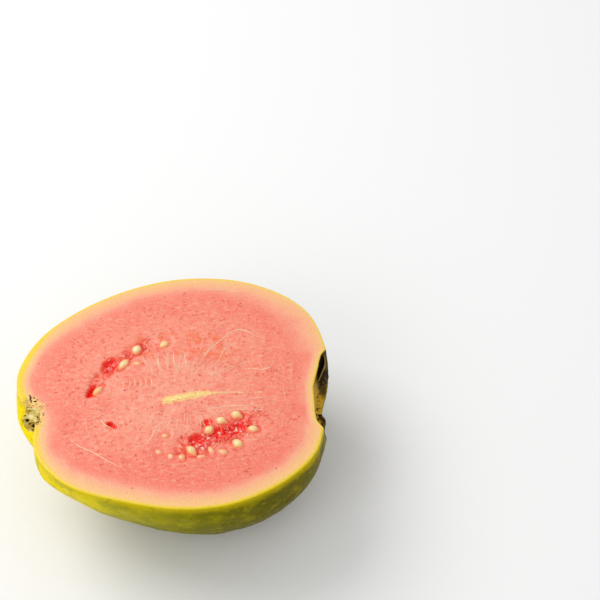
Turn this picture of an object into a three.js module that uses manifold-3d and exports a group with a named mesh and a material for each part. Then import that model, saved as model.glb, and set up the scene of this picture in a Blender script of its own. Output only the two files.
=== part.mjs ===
// Half of a ripe pink guava, cut lengthwise through its stem and its dried calyx.
// It lies on its skin with the cut face level and up. Units are millimetres and +Z is up.
// +X runs from the stem to the calyx, and +Y from the narrower side to the fuller one.
// Every shape is first made with the cut face at z = 0, and the half is then stood on its rest spot.
import * as THREE from 'three';
import { mergeVertices } from 'three/addons/utils/BufferGeometryUtils.js';
import Module from 'manifold-3d';

const wasm = await Module();
wasm.setup();

// The edge of the cut face, seen from above, counter-clockwise from the calyx.
const CUT_EDGE = [
  [46.6, 2], [46.4, 16.5], [42.6, 29.8], [33.4, 39.2], [20, 45.4],
  [3, 47.2], [-14, 43.8], [-29.5, 36.2], [-40.6, 26.3], [-46.4, 14],
  [-45.8, 2], [-42.6, -9], [-38.6, -19], [-30, -27.8], [-16, -33.6],
  [0, -37.6], [15, -37.2], [29, -31.8], [39.3, -23], [43.4, -12.5],
];
const CUT_EDGE_TENSION = 0.5;

// The skin under the cut: how deep it goes, how full its sides are (less is fuller),
// how far its lowest point lies towards the calyx, and how much of the bottom is flat from its own weight.
const DEPTH = 40;
const FULLNESS = 0.75;
const KEEL_SHIFT = 5;
const REST_FLAT_DEPTH = 0.4;

// The end of the fruit that an end feature may shape: from this far out along X to this far.
const END_FROM = 10;
const END_TO = 25;
// The cut edge keeps its measured line, so swells and lumps only grow in over this depth.
const SWELL_DEPTH = 10;

// The dimple that the stem stands in, and the shoulder of skin round it.
const DIMPLE = { y: -3, depth: 3.4, width: 6.5, shoulderRadius: 9, shoulder: 3.6, shoulderWidth: 7.5 };
// The open mouth that the flower left: a shallow crater, leaning a little towards -Y.
// Its profile runs from the middle of the floor over the lip: distance from its axis, then X.
// On its +Y side the floor rises by bend for every millimetre from its axis, up to bendReach.
const CRATER = {
  y: 1.2, lean: 6, bend: 0.13, bendReach: 8, shoulderRadius: 16, shoulder: 0.6, shoulderWidth: 6,
  profile: [
    [0, 41.6], [4, 41.9], [9, 42.2], [12, 42.8], [13.2, 43.5], [14.3, 44.4], [15.4, 45.6], [18, 50], [0, 50],
  ],
};
const CRATER_FLOOR = CRATER.profile[0][1];
// Gentle lumps and hollows of the skin, each along the line out from the centre of the cut face.
const LUMPS = [
  { at: [-43, -9, -7], radius: 6, height: -3 },
  { at: [-38, -20, -8], radius: 8, height: 1.3 },
  { at: [-22, -27, -20], radius: 12, height: -0.9 },
  { at: [46, 1, -15], radius: 8, height: -2 },
];

// The stub of the fruit stalk: a woody plug, cut in half with the fruit.
const STUB = {
  y: -2.8, innerX: -39.3,
  profile: [[0, 0], [3, 0], [3.7, 1.6], [3.9, 2.8], [3.3, 3.9], [2.2, 4.5], [0, 4.2]],
};
// Two dried lobes of the calyx. turn is where each grows on the crater's ring, in degrees from +Y
// downwards. Each profile runs from root to tip: distance from the crater's axis, then X.
const SEPAL_RING = 13.3;
const FAR_SEPAL = {
  turn: 28, halfWidth: 5.6, tipHalfWidth: 0.8,
  profile: [[13.2, 43.6], [12.5, 46.0], [9.5, 46.5], [5.5, 45.6], [2, 44.4]],
};
const LOW_SEPAL = {
  turn: 124, halfWidth: 3, tipHalfWidth: 1,
  profile: [[14.6, 42.4], [13.7, 43.6], [12.4, 44.2], [10.8, 44.1], [9.6, 43.4]],
};
const SEPAL_THICKNESS = 0.9;
// How a lobe narrows to its tip: evenly at 1, and later along its length at more.
const SEPAL_NARROWING = 1.4;

// Wet hollows in the seed chambers: centre on the cut face, half length, width and depth,
// and turn in degrees.
const HOLLOWS = [
  { at: [-19, 14.5], half: [2.6, 1.8, 1.3], turn: 60 },
  { at: [-24.3, 5.3], half: [2.4, 1.3, 2.2], turn: 62 },
  { at: [-18.6, -7.6], half: [1.7, 0.9, 1.8], turn: -40 },
  { at: [5.9, -14.9], half: [2.4, 1.7, 1.7], turn: 20 },
  { at: [12.6, -13], half: [3, 1.8, 1.4], turn: 15 },
  { at: [17.2, -11.9], half: [3.2, 1.7, 1.9], turn: 10 },
  { at: [9, -9.4], half: [1.6, 1, 0.9], turn: 20 },
];
// The bony seeds that the knife left standing in the cut face, as they lie in the two chambers.
const SEEDS = [
  { at: [-10.7, 20], length: 4.4, width: 3, turn: 69 },
  { at: [-14.6, 14.8], length: 5.4, width: 2.4, turn: 52 },
  { at: [-10.5, 14.4], length: 3, width: 2, turn: -18 },
  { at: [-22.2, 5.7], length: 4.5, width: 2.2, turn: 47 },
  { at: [-2.2, 21.4], length: 4.3, width: 2.6, turn: 42 },
  { at: [-3.1, -12.7], length: 2.6, width: 2, turn: 20 },
  { at: [-4.9, -18.3], length: 2.4, width: 1.7, turn: -39 },
  { at: [-1.6, -20.1], length: 2.5, width: 1.8, turn: -67 },
  { at: [1.5, -20.7], length: 2.6, width: 1.9, turn: -58 },
  { at: [4.4, -18.5], length: 4.4, width: 2.6, turn: -54 },
  { at: [9.8, -11.5], length: 3.6, width: 2.8, turn: 42 },
  { at: [13.5, -8.8], length: 3.6, width: 2.7, turn: -17 },
  { at: [18.1, -7.1], length: 3.5, width: 2.7, turn: -29 },
  { at: [22.7, -12.6], length: 3.8, width: 2.6, turn: -11 },
  { at: [17.8, -17.4], length: 4.1, width: 2.9, turn: -50 },
  { at: [13.4, -19.9], length: 3.2, width: 2.1, turn: -23 },
  { at: [10.2, -19.3], length: 3.6, width: 1.8, turn: -68 },
  { at: [7.4, -20.8], length: 2.8, width: 1.6, turn: -5 },
];
// A seed is this thick for its width, and its middle lies this far below the cut face.
const SEED_THICKNESS = 0.85;
const SEED_SINK = 0.35;
const SEED_TAPER = 0.35;

// Clearance between neighbours that touch in the real fruit.
const GAP = 0.3;
// The side of the block that trims a piece at the cut. It is wider than the fruit.
const CUT_BLOCK = 120;

// How finely the faces are cut.
const STEPS_ROUND = 96;
const STEPS_DOWN = 20;
const SEED_STEPS = [9, 6];
const HOLLOW_STEPS = [12, 7];
const STUB_STEPS = 18;
const CRATER_STEPS = 48;
const SEPAL_STEPS = [8, 9];

const WAXY_SKIN = { color: 0xc9c016, roughness: 0.45 };
const DRY_WOOD = { color: 0x8a7448, roughness: 0.9 };
const DRY_CALYX = { color: 0x33241a, roughness: 0.85 };

const edgeCurve = new THREE.CatmullRomCurve3(
  CUT_EDGE.map(([x, y]) => new THREE.Vector3(x, y, 0)), true, 'catmullrom', CUT_EDGE_TENSION);

function bump(distance, width) {
  return Math.exp(-((distance / width) ** 2));
}

function shapeStemEnd(p, sunk) {
  const reach = THREE.MathUtils.smoothstep(-p.x, END_FROM, END_TO);
  const d = Math.hypot(p.y - DIMPLE.y, p.z);
  p.x -= sunk * reach * DIMPLE.shoulder * bump(d - DIMPLE.shoulderRadius, DIMPLE.shoulderWidth);
  p.x += reach * DIMPLE.depth * bump(d, DIMPLE.width);
}

function shapeCalyxEnd(p, sunk) {
  const reach = THREE.MathUtils.smoothstep(p.x, END_FROM, END_TO);
  const d = Math.hypot(p.y - CRATER.y, p.z);
  p.x += sunk * reach * CRATER.shoulder * bump(d - CRATER.shoulderRadius, CRATER.shoulderWidth);
}

function raiseLumps(p, sunk) {
  const out = p.clone().normalize();
  for (const lump of LUMPS) {
    const d = p.distanceTo(new THREE.Vector3(...lump.at));
    p.addScaledVector(out, sunk * lump.height * bump(d, lump.radius));
  }
}

// A point of the skin: turn goes once round from 0 to 1, and down goes from 0 at the cut edge
// to 1 at the lowest point.
function skinPoint(turn, down) {
  const angle = down * Math.PI / 2;
  const shrink = Math.cos(angle) ** FULLNESS;
  const sink = Math.sin(angle);
  const p = edgeCurve.getPoint(turn % 1).multiplyScalar(shrink);
  p.x += KEEL_SHIFT * sink;
  p.z = -DEPTH * sink;
  const sunk = THREE.MathUtils.smoothstep(-p.z, 0, SWELL_DEPTH);
  shapeStemEnd(p, sunk);
  shapeCalyxEnd(p, sunk);
  raiseLumps(p, sunk);
  return p;
}

// Rings of skin, closed by the flat cut face above and the flat rest spot below.
function makeBody() {
  const restDown = Math.asin(1 - REST_FLAT_DEPTH / DEPTH) / (Math.PI / 2);
  const points = [];
  for (let ring = 0; ring <= STEPS_DOWN; ring++) {
    for (let step = 0; step < STEPS_ROUND; step++) {
      const p = skinPoint(step / STEPS_ROUND, restDown * ring / STEPS_DOWN);
      if (ring === STEPS_DOWN) p.z = REST_FLAT_DEPTH - DEPTH;
      points.push(p);
    }
  }
  const top = points.push(new THREE.Vector3(0, 0, 0)) - 1;
  const bottom = points.push(new THREE.Vector3(KEEL_SHIFT, 0, REST_FLAT_DEPTH - DEPTH)) - 1;
  const faces = [];
  for (let step = 0; step < STEPS_ROUND; step++) {
    const next = (step + 1) % STEPS_ROUND;
    const last = STEPS_DOWN * STEPS_ROUND;
    faces.push(top, step, next, bottom, last + next, last + step);
    for (let ring = 0; ring < STEPS_DOWN; ring++) {
      const above = ring * STEPS_ROUND;
      const below = above + STEPS_ROUND;
      faces.push(above + step, below + step, below + next);
      faces.push(above + step, below + next, above + next);
    }
  }
  return toSolid(pointsToGeometry(points, faces));
}

function pointsToGeometry(points, faces) {
  const geometry = new THREE.BufferGeometry().setFromPoints(points);
  geometry.setIndex(faces);
  return geometry;
}

function toSolid(geometry) {
  const bare = geometry.clone();
  bare.deleteAttribute('normal');
  bare.deleteAttribute('uv');
  const merged = mergeVertices(bare);
  return new wasm.Manifold(new wasm.Mesh({
    numProp: 3,
    vertProperties: new Float32Array(merged.attributes.position.array),
    triVerts: new Uint32Array(merged.index.array),
  }));
}

function toMesh(name, solid, finish) {
  const found = solid.getMesh();
  const geometry = new THREE.BufferGeometry();
  geometry.setAttribute('position', new THREE.BufferAttribute(found.vertProperties, 3));
  geometry.setIndex(new THREE.BufferAttribute(found.triVerts, 1));
  geometry.computeVertexNormals();
  const mesh = new THREE.Mesh(geometry, new THREE.MeshStandardMaterial(finish));
  mesh.name = name;
  return mesh;
}

// A ball drawn out to its half sizes. taper narrows it towards its +X end, as a seed narrows to its point.
function makePebble(at, half, turn, steps, taper = 0) {
  const geometry = new THREE.SphereGeometry(1, ...steps);
  const place = geometry.attributes.position;
  for (let i = 0; i < place.count; i++) {
    const narrow = 1 - taper * THREE.MathUtils.smoothstep(place.getX(i), 0, 1);
    place.setY(i, place.getY(i) * narrow);
  }
  geometry.scale(...half);
  geometry.rotateZ(THREE.MathUtils.degToRad(turn));
  geometry.translate(...at);
  return toSolid(geometry);
}

function makeSeed({ at, length, width, turn }) {
  const half = [length / 2, width / 2, width * SEED_THICKNESS / 2];
  return makePebble([...at, -SEED_SINK], half, turn, SEED_STEPS, SEED_TAPER);
}

// The crater is carved out by a dish turned from its profile.
function makeCrater() {
  const lean = THREE.MathUtils.degToRad(CRATER.lean);
  const profile = CRATER.profile.map(([radius, x]) => new THREE.Vector2(radius, x));
  const geometry = new THREE.LatheGeometry(profile, CRATER_STEPS);
  geometry.rotateZ(-Math.PI / 2);
  const place = geometry.attributes.position;
  for (let i = 0; i < place.count; i++) {
    place.setX(i, place.getX(i) + CRATER.bend * THREE.MathUtils.clamp(place.getY(i), 0, CRATER.bendReach));
  }
  geometry.rotateZ(-lean);
  geometry.translate(0, CRATER.y + CRATER_FLOOR * Math.tan(lean), 0);
  return toSolid(geometry);
}

function makeHollow({ at, half, turn }) {
  return makePebble([...at, 0], half, turn, HOLLOW_STEPS);
}

// The stub's whole plug, grown all round by margin. The cut takes its upper half away.
function makeStub(margin) {
  const [, length] = STUB.profile.at(-1);
  const profile = STUB.profile.map(([radius, along]) => {
    const grown = radius > 0 ? radius + margin : 0;
    return new THREE.Vector2(grown, along + margin * Math.sign(along - length / 2));
  });
  const geometry = new THREE.LatheGeometry(profile, STUB_STEPS);
  geometry.rotateZ(Math.PI / 2);
  geometry.translate(STUB.innerX, STUB.y, 0);
  return toSolid(geometry);
}

// A curved lobe: rows from root to tip across a fold, with thickness all round.
function makeSepal({ turn, halfWidth, tipHalfWidth, profile }, thickness) {
  const fold = new THREE.CatmullRomCurve3(profile.map(([radius, x]) => new THREE.Vector3(x, radius, 0)));
  const angle = THREE.MathUtils.degToRad(turn);
  const outward = new THREE.Vector3(0, Math.cos(angle), -Math.sin(angle));
  const across = new THREE.Vector3(0, -Math.sin(angle), -Math.cos(angle));
  const [acrossSteps, alongSteps] = SEPAL_STEPS;
  const rows = [[], []];
  for (let row = 0; row <= alongSteps; row++) {
    const along = row / alongSteps;
    const middle = fold.getPoint(along);
    const slope = fold.getTangent(along);
    const width = THREE.MathUtils.lerp(halfWidth, tipHalfWidth, along ** SEPAL_NARROWING);
    for (let step = 0; step <= acrossSteps; step++) {
      const side = 2 * step / acrossSteps - 1;
      const round = (1 - along) * (side * width) ** 2 / (2 * SEPAL_RING);
      const p = new THREE.Vector3(middle.x, CRATER.y, 0)
        .addScaledVector(outward, middle.y - round)
        .addScaledVector(across, side * width);
      const face = new THREE.Vector3(slope.y, 0, 0).addScaledVector(outward, -slope.x);
      rows[0].push(p.clone().addScaledVector(face, thickness / 2));
      rows[1].push(p.clone().addScaledVector(face, -thickness / 2));
    }
  }
  return toSolid(closeSheet(rows[0], rows[1], acrossSteps, alongSteps));
}

// Joins two matching grids of points, front and back, into one closed body.
function closeSheet(front, back, acrossSteps, alongSteps) {
  const wide = acrossSteps + 1;
  const faces = [];
  const quad = (a, b, c, d) => faces.push(a, b, c, a, c, d);
  const behind = (i) => i + front.length;
  for (let row = 0; row < alongSteps; row++) {
    for (let step = 0; step < acrossSteps; step++) {
      const a = row * wide + step;
      quad(a, a + 1, a + 1 + wide, a + wide);
      quad(behind(a), behind(a + wide), behind(a + 1 + wide), behind(a + 1));
    }
    const left = row * wide;
    const right = left + acrossSteps;
    quad(left, left + wide, behind(left + wide), behind(left));
    quad(right, behind(right), behind(right + wide), right + wide);
  }
  for (let step = 0; step < acrossSteps; step++) {
    const tip = alongSteps * wide + step;
    quad(step, behind(step), behind(step + 1), step + 1);
    quad(tip, tip + 1, behind(tip + 1), behind(tip));
  }
  return pointsToGeometry([...front, ...back], faces);
}

// Everything above the cut, so that a piece which the knife passed through can be trimmed level with it.
function makeAboveCut() {
  const block = new THREE.BoxGeometry(CUT_BLOCK, CUT_BLOCK, CUT_BLOCK);
  block.translate(0, 0, CUT_BLOCK / 2);
  return toSolid(block);
}

const aboveCut = makeAboveCut();
const sepals = { sepal_far: FAR_SEPAL, sepal_low: LOW_SEPAL };

let fruit = makeBody().subtract(makeCrater());
for (const hollow of HOLLOWS) fruit = fruit.subtract(makeHollow(hollow));
for (const seed of SEEDS) fruit = fruit.add(makeSeed(seed));
fruit = fruit.subtract(makeStub(GAP));
for (const sepal of Object.values(sepals)) {
  fruit = fruit.subtract(makeSepal(sepal, SEPAL_THICKNESS + 2 * GAP));
}

const guava = new THREE.Group();
guava.name = 'guava_half';
guava.add(toMesh('fruit_half', fruit, WAXY_SKIN));
guava.add(toMesh('stem_stub', makeStub(0).subtract(aboveCut), DRY_WOOD));
for (const [name, sepal] of Object.entries(sepals)) {
  guava.add(toMesh(name, makeSepal(sepal, SEPAL_THICKNESS).subtract(aboveCut), DRY_CALYX));
}

// The origin is the middle of the half's box on the surface it rests on.
const box = new THREE.Box3().setFromObject(guava);
const middle = box.getCenter(new THREE.Vector3());
guava.position.set(-middle.x, -middle.y, -box.min.z);

export default guava;
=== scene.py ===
# %% [markdown]
# # Half of a pink guava, cut lengthwise
# The half lies on its skin with the cut face level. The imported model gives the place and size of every
# piece, and this script gives the pieces their fine surface: the waxy skin, the moist flesh with its
# seeds and fibres, the woody stub of the stalk and the dried lobes that the flower left behind.
# Lengths are written in millimetres, as the fruit would be measured, and are turned to metres last.

# %% Load the fixed model
import math
import random
import bpy
import numpy as np
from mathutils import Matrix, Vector, noise


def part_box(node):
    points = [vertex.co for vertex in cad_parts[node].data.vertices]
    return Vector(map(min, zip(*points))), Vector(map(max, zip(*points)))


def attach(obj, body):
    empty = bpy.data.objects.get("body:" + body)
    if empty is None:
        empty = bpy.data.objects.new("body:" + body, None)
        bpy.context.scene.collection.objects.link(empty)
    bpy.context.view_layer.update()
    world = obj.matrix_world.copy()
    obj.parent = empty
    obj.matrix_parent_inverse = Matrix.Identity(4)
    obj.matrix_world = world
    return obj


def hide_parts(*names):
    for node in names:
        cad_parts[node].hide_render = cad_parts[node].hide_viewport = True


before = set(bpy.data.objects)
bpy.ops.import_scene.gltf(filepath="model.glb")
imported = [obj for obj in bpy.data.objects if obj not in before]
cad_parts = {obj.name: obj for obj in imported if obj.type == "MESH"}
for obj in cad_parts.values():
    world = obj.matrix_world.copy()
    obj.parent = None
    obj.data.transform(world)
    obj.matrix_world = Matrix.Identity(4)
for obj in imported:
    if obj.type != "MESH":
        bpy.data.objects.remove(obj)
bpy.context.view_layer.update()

# %% [markdown]
# A few small helpers carry the whole lesson. One turns the sRGB hex colours that people pick into the
# linear values that the renderer works in. One adds a node with its settings and links, in a material or
# in a geometry tree. The others are the soft steps, soft bumps and smooth noise that shape everything.

# %% Helpers
MM = 0.001


def colour(code):
    channels = [int(code[i:i + 2], 16) / 255 for i in (1, 3, 5)]
    linear = [c / 12.92 if c <= 0.04045 else ((c + 0.055) / 1.055) ** 2.4 for c in channels]
    return (*linear, 1.0)


def add(tree, kind, inputs=None, **settings):
    node = tree.nodes.new(kind)
    for name, value in settings.items():
        setattr(node, name, value)
    for key, value in (inputs or {}).items():
        if isinstance(value, bpy.types.NodeSocket):
            tree.links.new(value, node.inputs[key])
        else:
            node.inputs[key].default_value = value
    return node


def smoothstep(x, low, high):
    t = np.clip((x - low) / (high - low), 0, 1)
    return t * t * (3 - 2 * t)


def bump(distance, width):
    return np.exp(-(distance / width) ** 2)


def fractal(points, size, octaves=3, seed=0.0):
    """Smooth noise from about -1 to 1, with features of about size millimetres."""
    shift = Vector((seed, seed * 1.7, seed * 2.3))
    return np.array([noise.fractal(Vector(p) / size + shift, 1.0, 2.0, octaves) for p in points])


print("salmon pink in linear values:", [round(c, 3) for c in colour("#FE947B")])


# %% [markdown]
# The shape of the skin is a rule, not a sculpt. A closed curve gives the edge of the cut face. Going
# down, the curve shrinks like the outline of a ball and slides towards the calyx, and then the two ends
# get their own form: a dimple with a shoulder for the stalk, and a shallow crater where the flower was.
# The same rule, with the same sizes, made the solid model, so the fine skin lies on the solid.

# %% Sizes of the fruit
CUT_EDGE = np.array([
    (46.6, 2), (46.4, 16.5), (42.6, 29.8), (33.4, 39.2), (20, 45.4),
    (3, 47.2), (-14, 43.8), (-29.5, 36.2), (-40.6, 26.3), (-46.4, 14),
    (-45.8, 2), (-42.6, -9), (-38.6, -19), (-30, -27.8), (-16, -33.6),
    (0, -37.6), (15, -37.2), (29, -31.8), (39.3, -23), (43.4, -12.5)], float)
DEPTH = 40
FULLNESS = 0.75
KEEL_SHIFT = 5
REST_FLAT_DEPTH = 0.4
END_FROM, END_TO = 10, 25
SWELL_DEPTH = 10
DIMPLE = dict(y=-3, depth=3.4, width=6.5, shoulder_radius=9, shoulder=3.6, shoulder_width=7.5)
CRATER = dict(y=1.2, lean=math.radians(6), bend=0.13, bend_reach=8, shoulder_radius=16, shoulder=0.6,
              shoulder_width=6)
CRATER_PROFILE = np.array([
    (0, 41.6), (4, 41.9), (9, 42.2), (12, 42.8), (13.2, 43.5), (14.3, 44.4), (15.4, 45.6),
    (18, 50), (60, 90)])
LIP_SOFTNESS = 0.5
LUMPS = [((-43, -9, -7), 6, -3), ((-38, -20, -8), 8, 1.3), ((-22, -27, -20), 12, -0.9), ((46, 1, -15), 8, -2)]
print("cut edge spans", CUT_EDGE.min(0), CUT_EDGE.max(0), "mm")

# %% [markdown]
# A Catmull-Rom curve passes through every measured point of the edge, so the outline can be read off a
# ruler. The crater is carved as a dish would carve it: a point that lies outside the dish is brought back
# to its surface, and a soft minimum rounds the lip.

# %% The rule of the skin
def pass_through(a, b, c, d, u):
    """The point at share u on the way from b to c, on a smooth curve through all four."""
    bend = 2 * a - 5 * b + 4 * c - d
    return 0.5 * (2 * b + (c - a) * u + bend * u ** 2 + (3 * b - a - 3 * c + d) * u ** 3)


def edge_points(turn):
    count = len(CUT_EDGE)
    place = np.asarray(turn) % 1.0 * count
    index = np.floor(place).astype(int)
    u = (place - index)[..., None]
    a, b, c, d = (CUT_EDGE[(index + k) % count] for k in (-1, 0, 1, 2))
    return pass_through(a, b, c, d, u)


def carve_crater(x, y, z):
    lean, floor = CRATER["lean"], CRATER_PROFILE[0, 1]
    rise = CRATER["y"] + floor * math.tan(lean)
    along = x * math.cos(lean) - (y - rise) * math.sin(lean)
    side = x * math.sin(lean) + (y - rise) * math.cos(lean)
    dish = np.interp(np.hypot(side, z), *CRATER_PROFILE.T)
    dish = dish + CRATER["bend"] * np.clip(side, 0, CRATER["bend_reach"])
    blend = np.clip(0.5 + (dish - along) / (2 * LIP_SOFTNESS), 0, 1)
    along = dish * (1 - blend) + along * blend - LIP_SOFTNESS * blend * (1 - blend)
    x = along * math.cos(lean) + side * math.sin(lean)
    return x, side * math.cos(lean) - along * math.sin(lean) + rise


def skin_points(turn, down):
    angle = np.asarray(down) * math.pi / 2
    sink = np.sin(angle)
    edge = edge_points(turn) * (np.cos(angle) ** FULLNESS)[..., None]
    x, y, z = edge[..., 0] + KEEL_SHIFT * sink, edge[..., 1], -DEPTH * sink
    sunk = smoothstep(-z, 0, SWELL_DEPTH)
    reach = smoothstep(-x, END_FROM, END_TO)
    d = np.hypot(y - DIMPLE["y"], z)
    x = x - sunk * reach * DIMPLE["shoulder"] * bump(d - DIMPLE["shoulder_radius"], DIMPLE["shoulder_width"])
    x = x + reach * DIMPLE["depth"] * bump(d, DIMPLE["width"])
    reach = smoothstep(x, END_FROM, END_TO)
    d = np.hypot(y - CRATER["y"], z)
    x = x + sunk * reach * CRATER["shoulder"] * bump(d - CRATER["shoulder_radius"], CRATER["shoulder_width"])
    points = np.stack([x, y, z], -1)
    out = points / (np.linalg.norm(points, axis=-1, keepdims=True) + 1e-9)
    for at, radius, height in LUMPS:
        d = np.linalg.norm(points - at, axis=-1)
        points = points + (sunk * height * bump(d, radius))[..., None] * out
    near = points[..., 0] > END_TO
    x, y = carve_crater(points[..., 0], points[..., 1], points[..., 2])
    points[..., 0] = np.where(near, x, points[..., 0])
    points[..., 1] = np.where(near, y, points[..., 1])
    return points


print("half way down one side:", skin_points(np.array([0.25]), np.array([0.5])).round(1))

# %% [markdown]
# The wet hollows and the seeds are measured pieces too, so they keep the places they have in the solid,
# to within half a millimetre.
# Each is an ellipse on the cut face: its middle, its half sizes and its turn in degrees. One function
# says how far any point of the face is from such an ellipse, and another how far it is from a route.
# Everything near a seed, a hollow or a strand is made from those distances.

# %% Hollows and seeds
HOLLOWS = [
    ((-19, 14.5), (2.6, 1.8, 1.3), 60), ((-24.3, 5.5), (2.3, 1.0, 2.2), 62),
    ((-18.6, -7.6), (1.6, 0.8, 1.8), -40), ((5.9, -14.9), (2.4, 1.7, 1.7), 20),
    ((12.6, -13), (3, 1.8, 1.4), 15), ((17.2, -11.9), (3.2, 1.7, 1.9), 10), ((9, -9.4), (1.6, 1, 0.9), 20)]
HOLLOW_DEPTH_SHARE = 0.7
SEEDS = [
    ((-10.7, 20), 4.5, 3.3, 69), ((-14.6, 14.8), 5.5, 3, 52), ((-10.5, 14.4), 4, 2.3, -18),
    ((-22.2, 5.7), 4.7, 2.6, 47), ((-2.2, 21.4), 4.4, 2.9, 42), ((-3.1, -12.7), 3.1, 2.4, 20),
    ((-4.9, -18.3), 2.9, 2.1, -39), ((-1.6, -20.1), 3.1, 2.2, -67), ((1.5, -20.7), 3.2, 2.5, -58),
    ((4.4, -18.5), 4.7, 2.9, -54), ((9.8, -11.5), 3.9, 3.1, 42), ((13.5, -8.8), 4.2, 3.1, -17),
    ((18.1, -7.1), 4.1, 3.2, -29), ((22.7, -12.6), 4.1, 3, -11), ((17.8, -17.4), 4.4, 3.3, -50),
    ((13.4, -19.9), 3.8, 2.5, -23), ((10.2, -19.3), 4.3, 2.1, -68), ((7.4, -20.8), 3.5, 1.9, -5)]
SEED_THICKNESS = 0.85
SEED_SINK = 0.55
SEED_TAPER = 0.35


def ellipse_reach(plan, at, half, turn):
    """0 in the middle of the ellipse, 1 on its line, and more outside."""
    c, s = math.cos(math.radians(turn)), math.sin(math.radians(turn))
    dx, dy = plan[:, 0] - at[0], plan[:, 1] - at[1]
    return np.hypot((dx * c + dy * s) / half[0], (dy * c - dx * s) / half[1])


def strip_distance(plan, route):
    """Distance in millimetres from a route of straight stretches."""
    best = np.full(len(plan), 1e9)
    for a, b in zip(route, route[1:]):
        a, b = np.array(a, float), np.array(b, float)
        t = np.clip((plan - a) @ (b - a) / ((b - a) @ (b - a)), 0, 1)
        best = np.minimum(best, np.linalg.norm(plan - (a + t[:, None] * (b - a)), axis=1))
    return best


print(len(HOLLOWS), "hollows and", len(SEEDS), "seeds")

# %% [markdown]
# The cut face is nearly flat, but a knife never leaves fruit perfectly level: the seed chambers sink,
# the middle stands a little proud, and a seed in a chamber sits in a small moat. This cell gives the
# height of the face and how red each point is, and the mesh and the material both read it.

# %% Relief and redness of the cut face
CHAMBERS = [
    ([(-24, 6), (-19, 13.5), (-11, 19.5), (-7, 22)], 3.2),
    ([(3, -17), (8, -16), (15, -13), (21, -10.5)], 5.2)]
MIDDLE_RISE = 0.3
STUB_FOOT = ((-42.0, -2.8), (2.9, 4.0), 0)
STUB_FOOT_DEPTH = 0.6


def stub_foot(plan):
    """1 where the stub of the stalk presses the flesh down, fading to 0 round it."""
    return 1 - smoothstep(ellipse_reach(plan, *STUB_FOOT), 0.75, 1.05)


def face_relief(plan):
    points = np.column_stack([plan, np.zeros(len(plan))])
    coarse = fractal(points, 5.0, 3, 3.0)
    fine = fractal(points, 1.1, 3, 9.0)
    chamber = np.zeros(len(plan))
    for route, width in CHAMBERS:
        gap = strip_distance(plan, route) + 1.1 * coarse
        chamber = np.maximum(chamber, 1 - smoothstep(gap, width * 0.45, width))
    height = MIDDLE_RISE * bump(np.hypot(plan[:, 0] - 4, plan[:, 1]), 22) + 0.12 * coarse + 0.05 * fine
    height = height - 0.35 * chamber + 0.3 * chamber * fine
    red = 0.66 * chamber * np.clip(0.6 + 1.1 * fine + 0.3 * coarse, 0, 1)
    for at, half, turn in HOLLOWS:
        reach = ellipse_reach(plan, at, half, turn) * (1 + 0.2 * fine)
        inside = np.sqrt(np.clip(1 - reach ** 2, 0, 1))
        height = height - HOLLOW_DEPTH_SHARE * half[2] * inside
        red = np.maximum(red, 1 - smoothstep(reach, 0.8, 1.6))
    for at, length, width, turn in SEEDS:
        reach = ellipse_reach(plan, at, (length / 2, width / 2), turn)
        height = height - 0.2 * bump(reach - 1.15, 0.3)
        red = np.maximum(red, (0.24 + 0.55 * chamber) * (1 - smoothstep(reach, 1.0, 1.5)))
    height = height - STUB_FOOT_DEPTH * stub_foot(plan)
    return height, red


print("height and redness in a hollow:", face_relief(np.array([[12.6, -13.0]])))

# %% [markdown]
# The flesh also changes in kind over the face. Round the core it is pale, beyond that lies the placenta,
# where the fibres fan out through orange jelly, and at the stalk it turns woody. Each kind is one number
# at every point, from 0 to 1, and the material decides later what colour it means.

# %% Kinds of flesh
PLACENTA = [(-8, 21), (0, 20.5), (8, 20), (17, 17.5), (25, 11), (29, 3), (30, -2)]
CORE_ROUTE = [(-2.8, -0.4), (-1.8, -0.2), (0.4, 0.2), (3, 0.6), (5.6, 1.0), (9.5, 1.2), (13, 1.2),
              (16.5, 1.1), (21, 0.8), (26, 0.4)]
JELLY_CELLS = [(-15.2 + 1.6 * step, 6.9) for step in range(6)]
STALK_SCAR = ((-42.2, -1.2), (4.2, 6.4), -4)
# Slits in the stalk scar: the flesh material paints them near black as the shade inside them.
STALK_SLITS = [((-42.3, 4.1), (1.8, 0.32), 102), ((-41.2, 4.4), (0.5, 0.25), 60),
               ((-40.8, 3.1), (0.6, 0.3), 120), ((-38.4, -2.3), (0.4, 0.15), 60),
               ((-39.2, -4.4), (0.4, 0.2), -50)]
STALK_BARK = ((-43.7, 2.7), (2.6, 1.2), 105)
ORANGE_POCKET = ((23.9, -7.2), (2.4, 1.6), 10)


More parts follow.
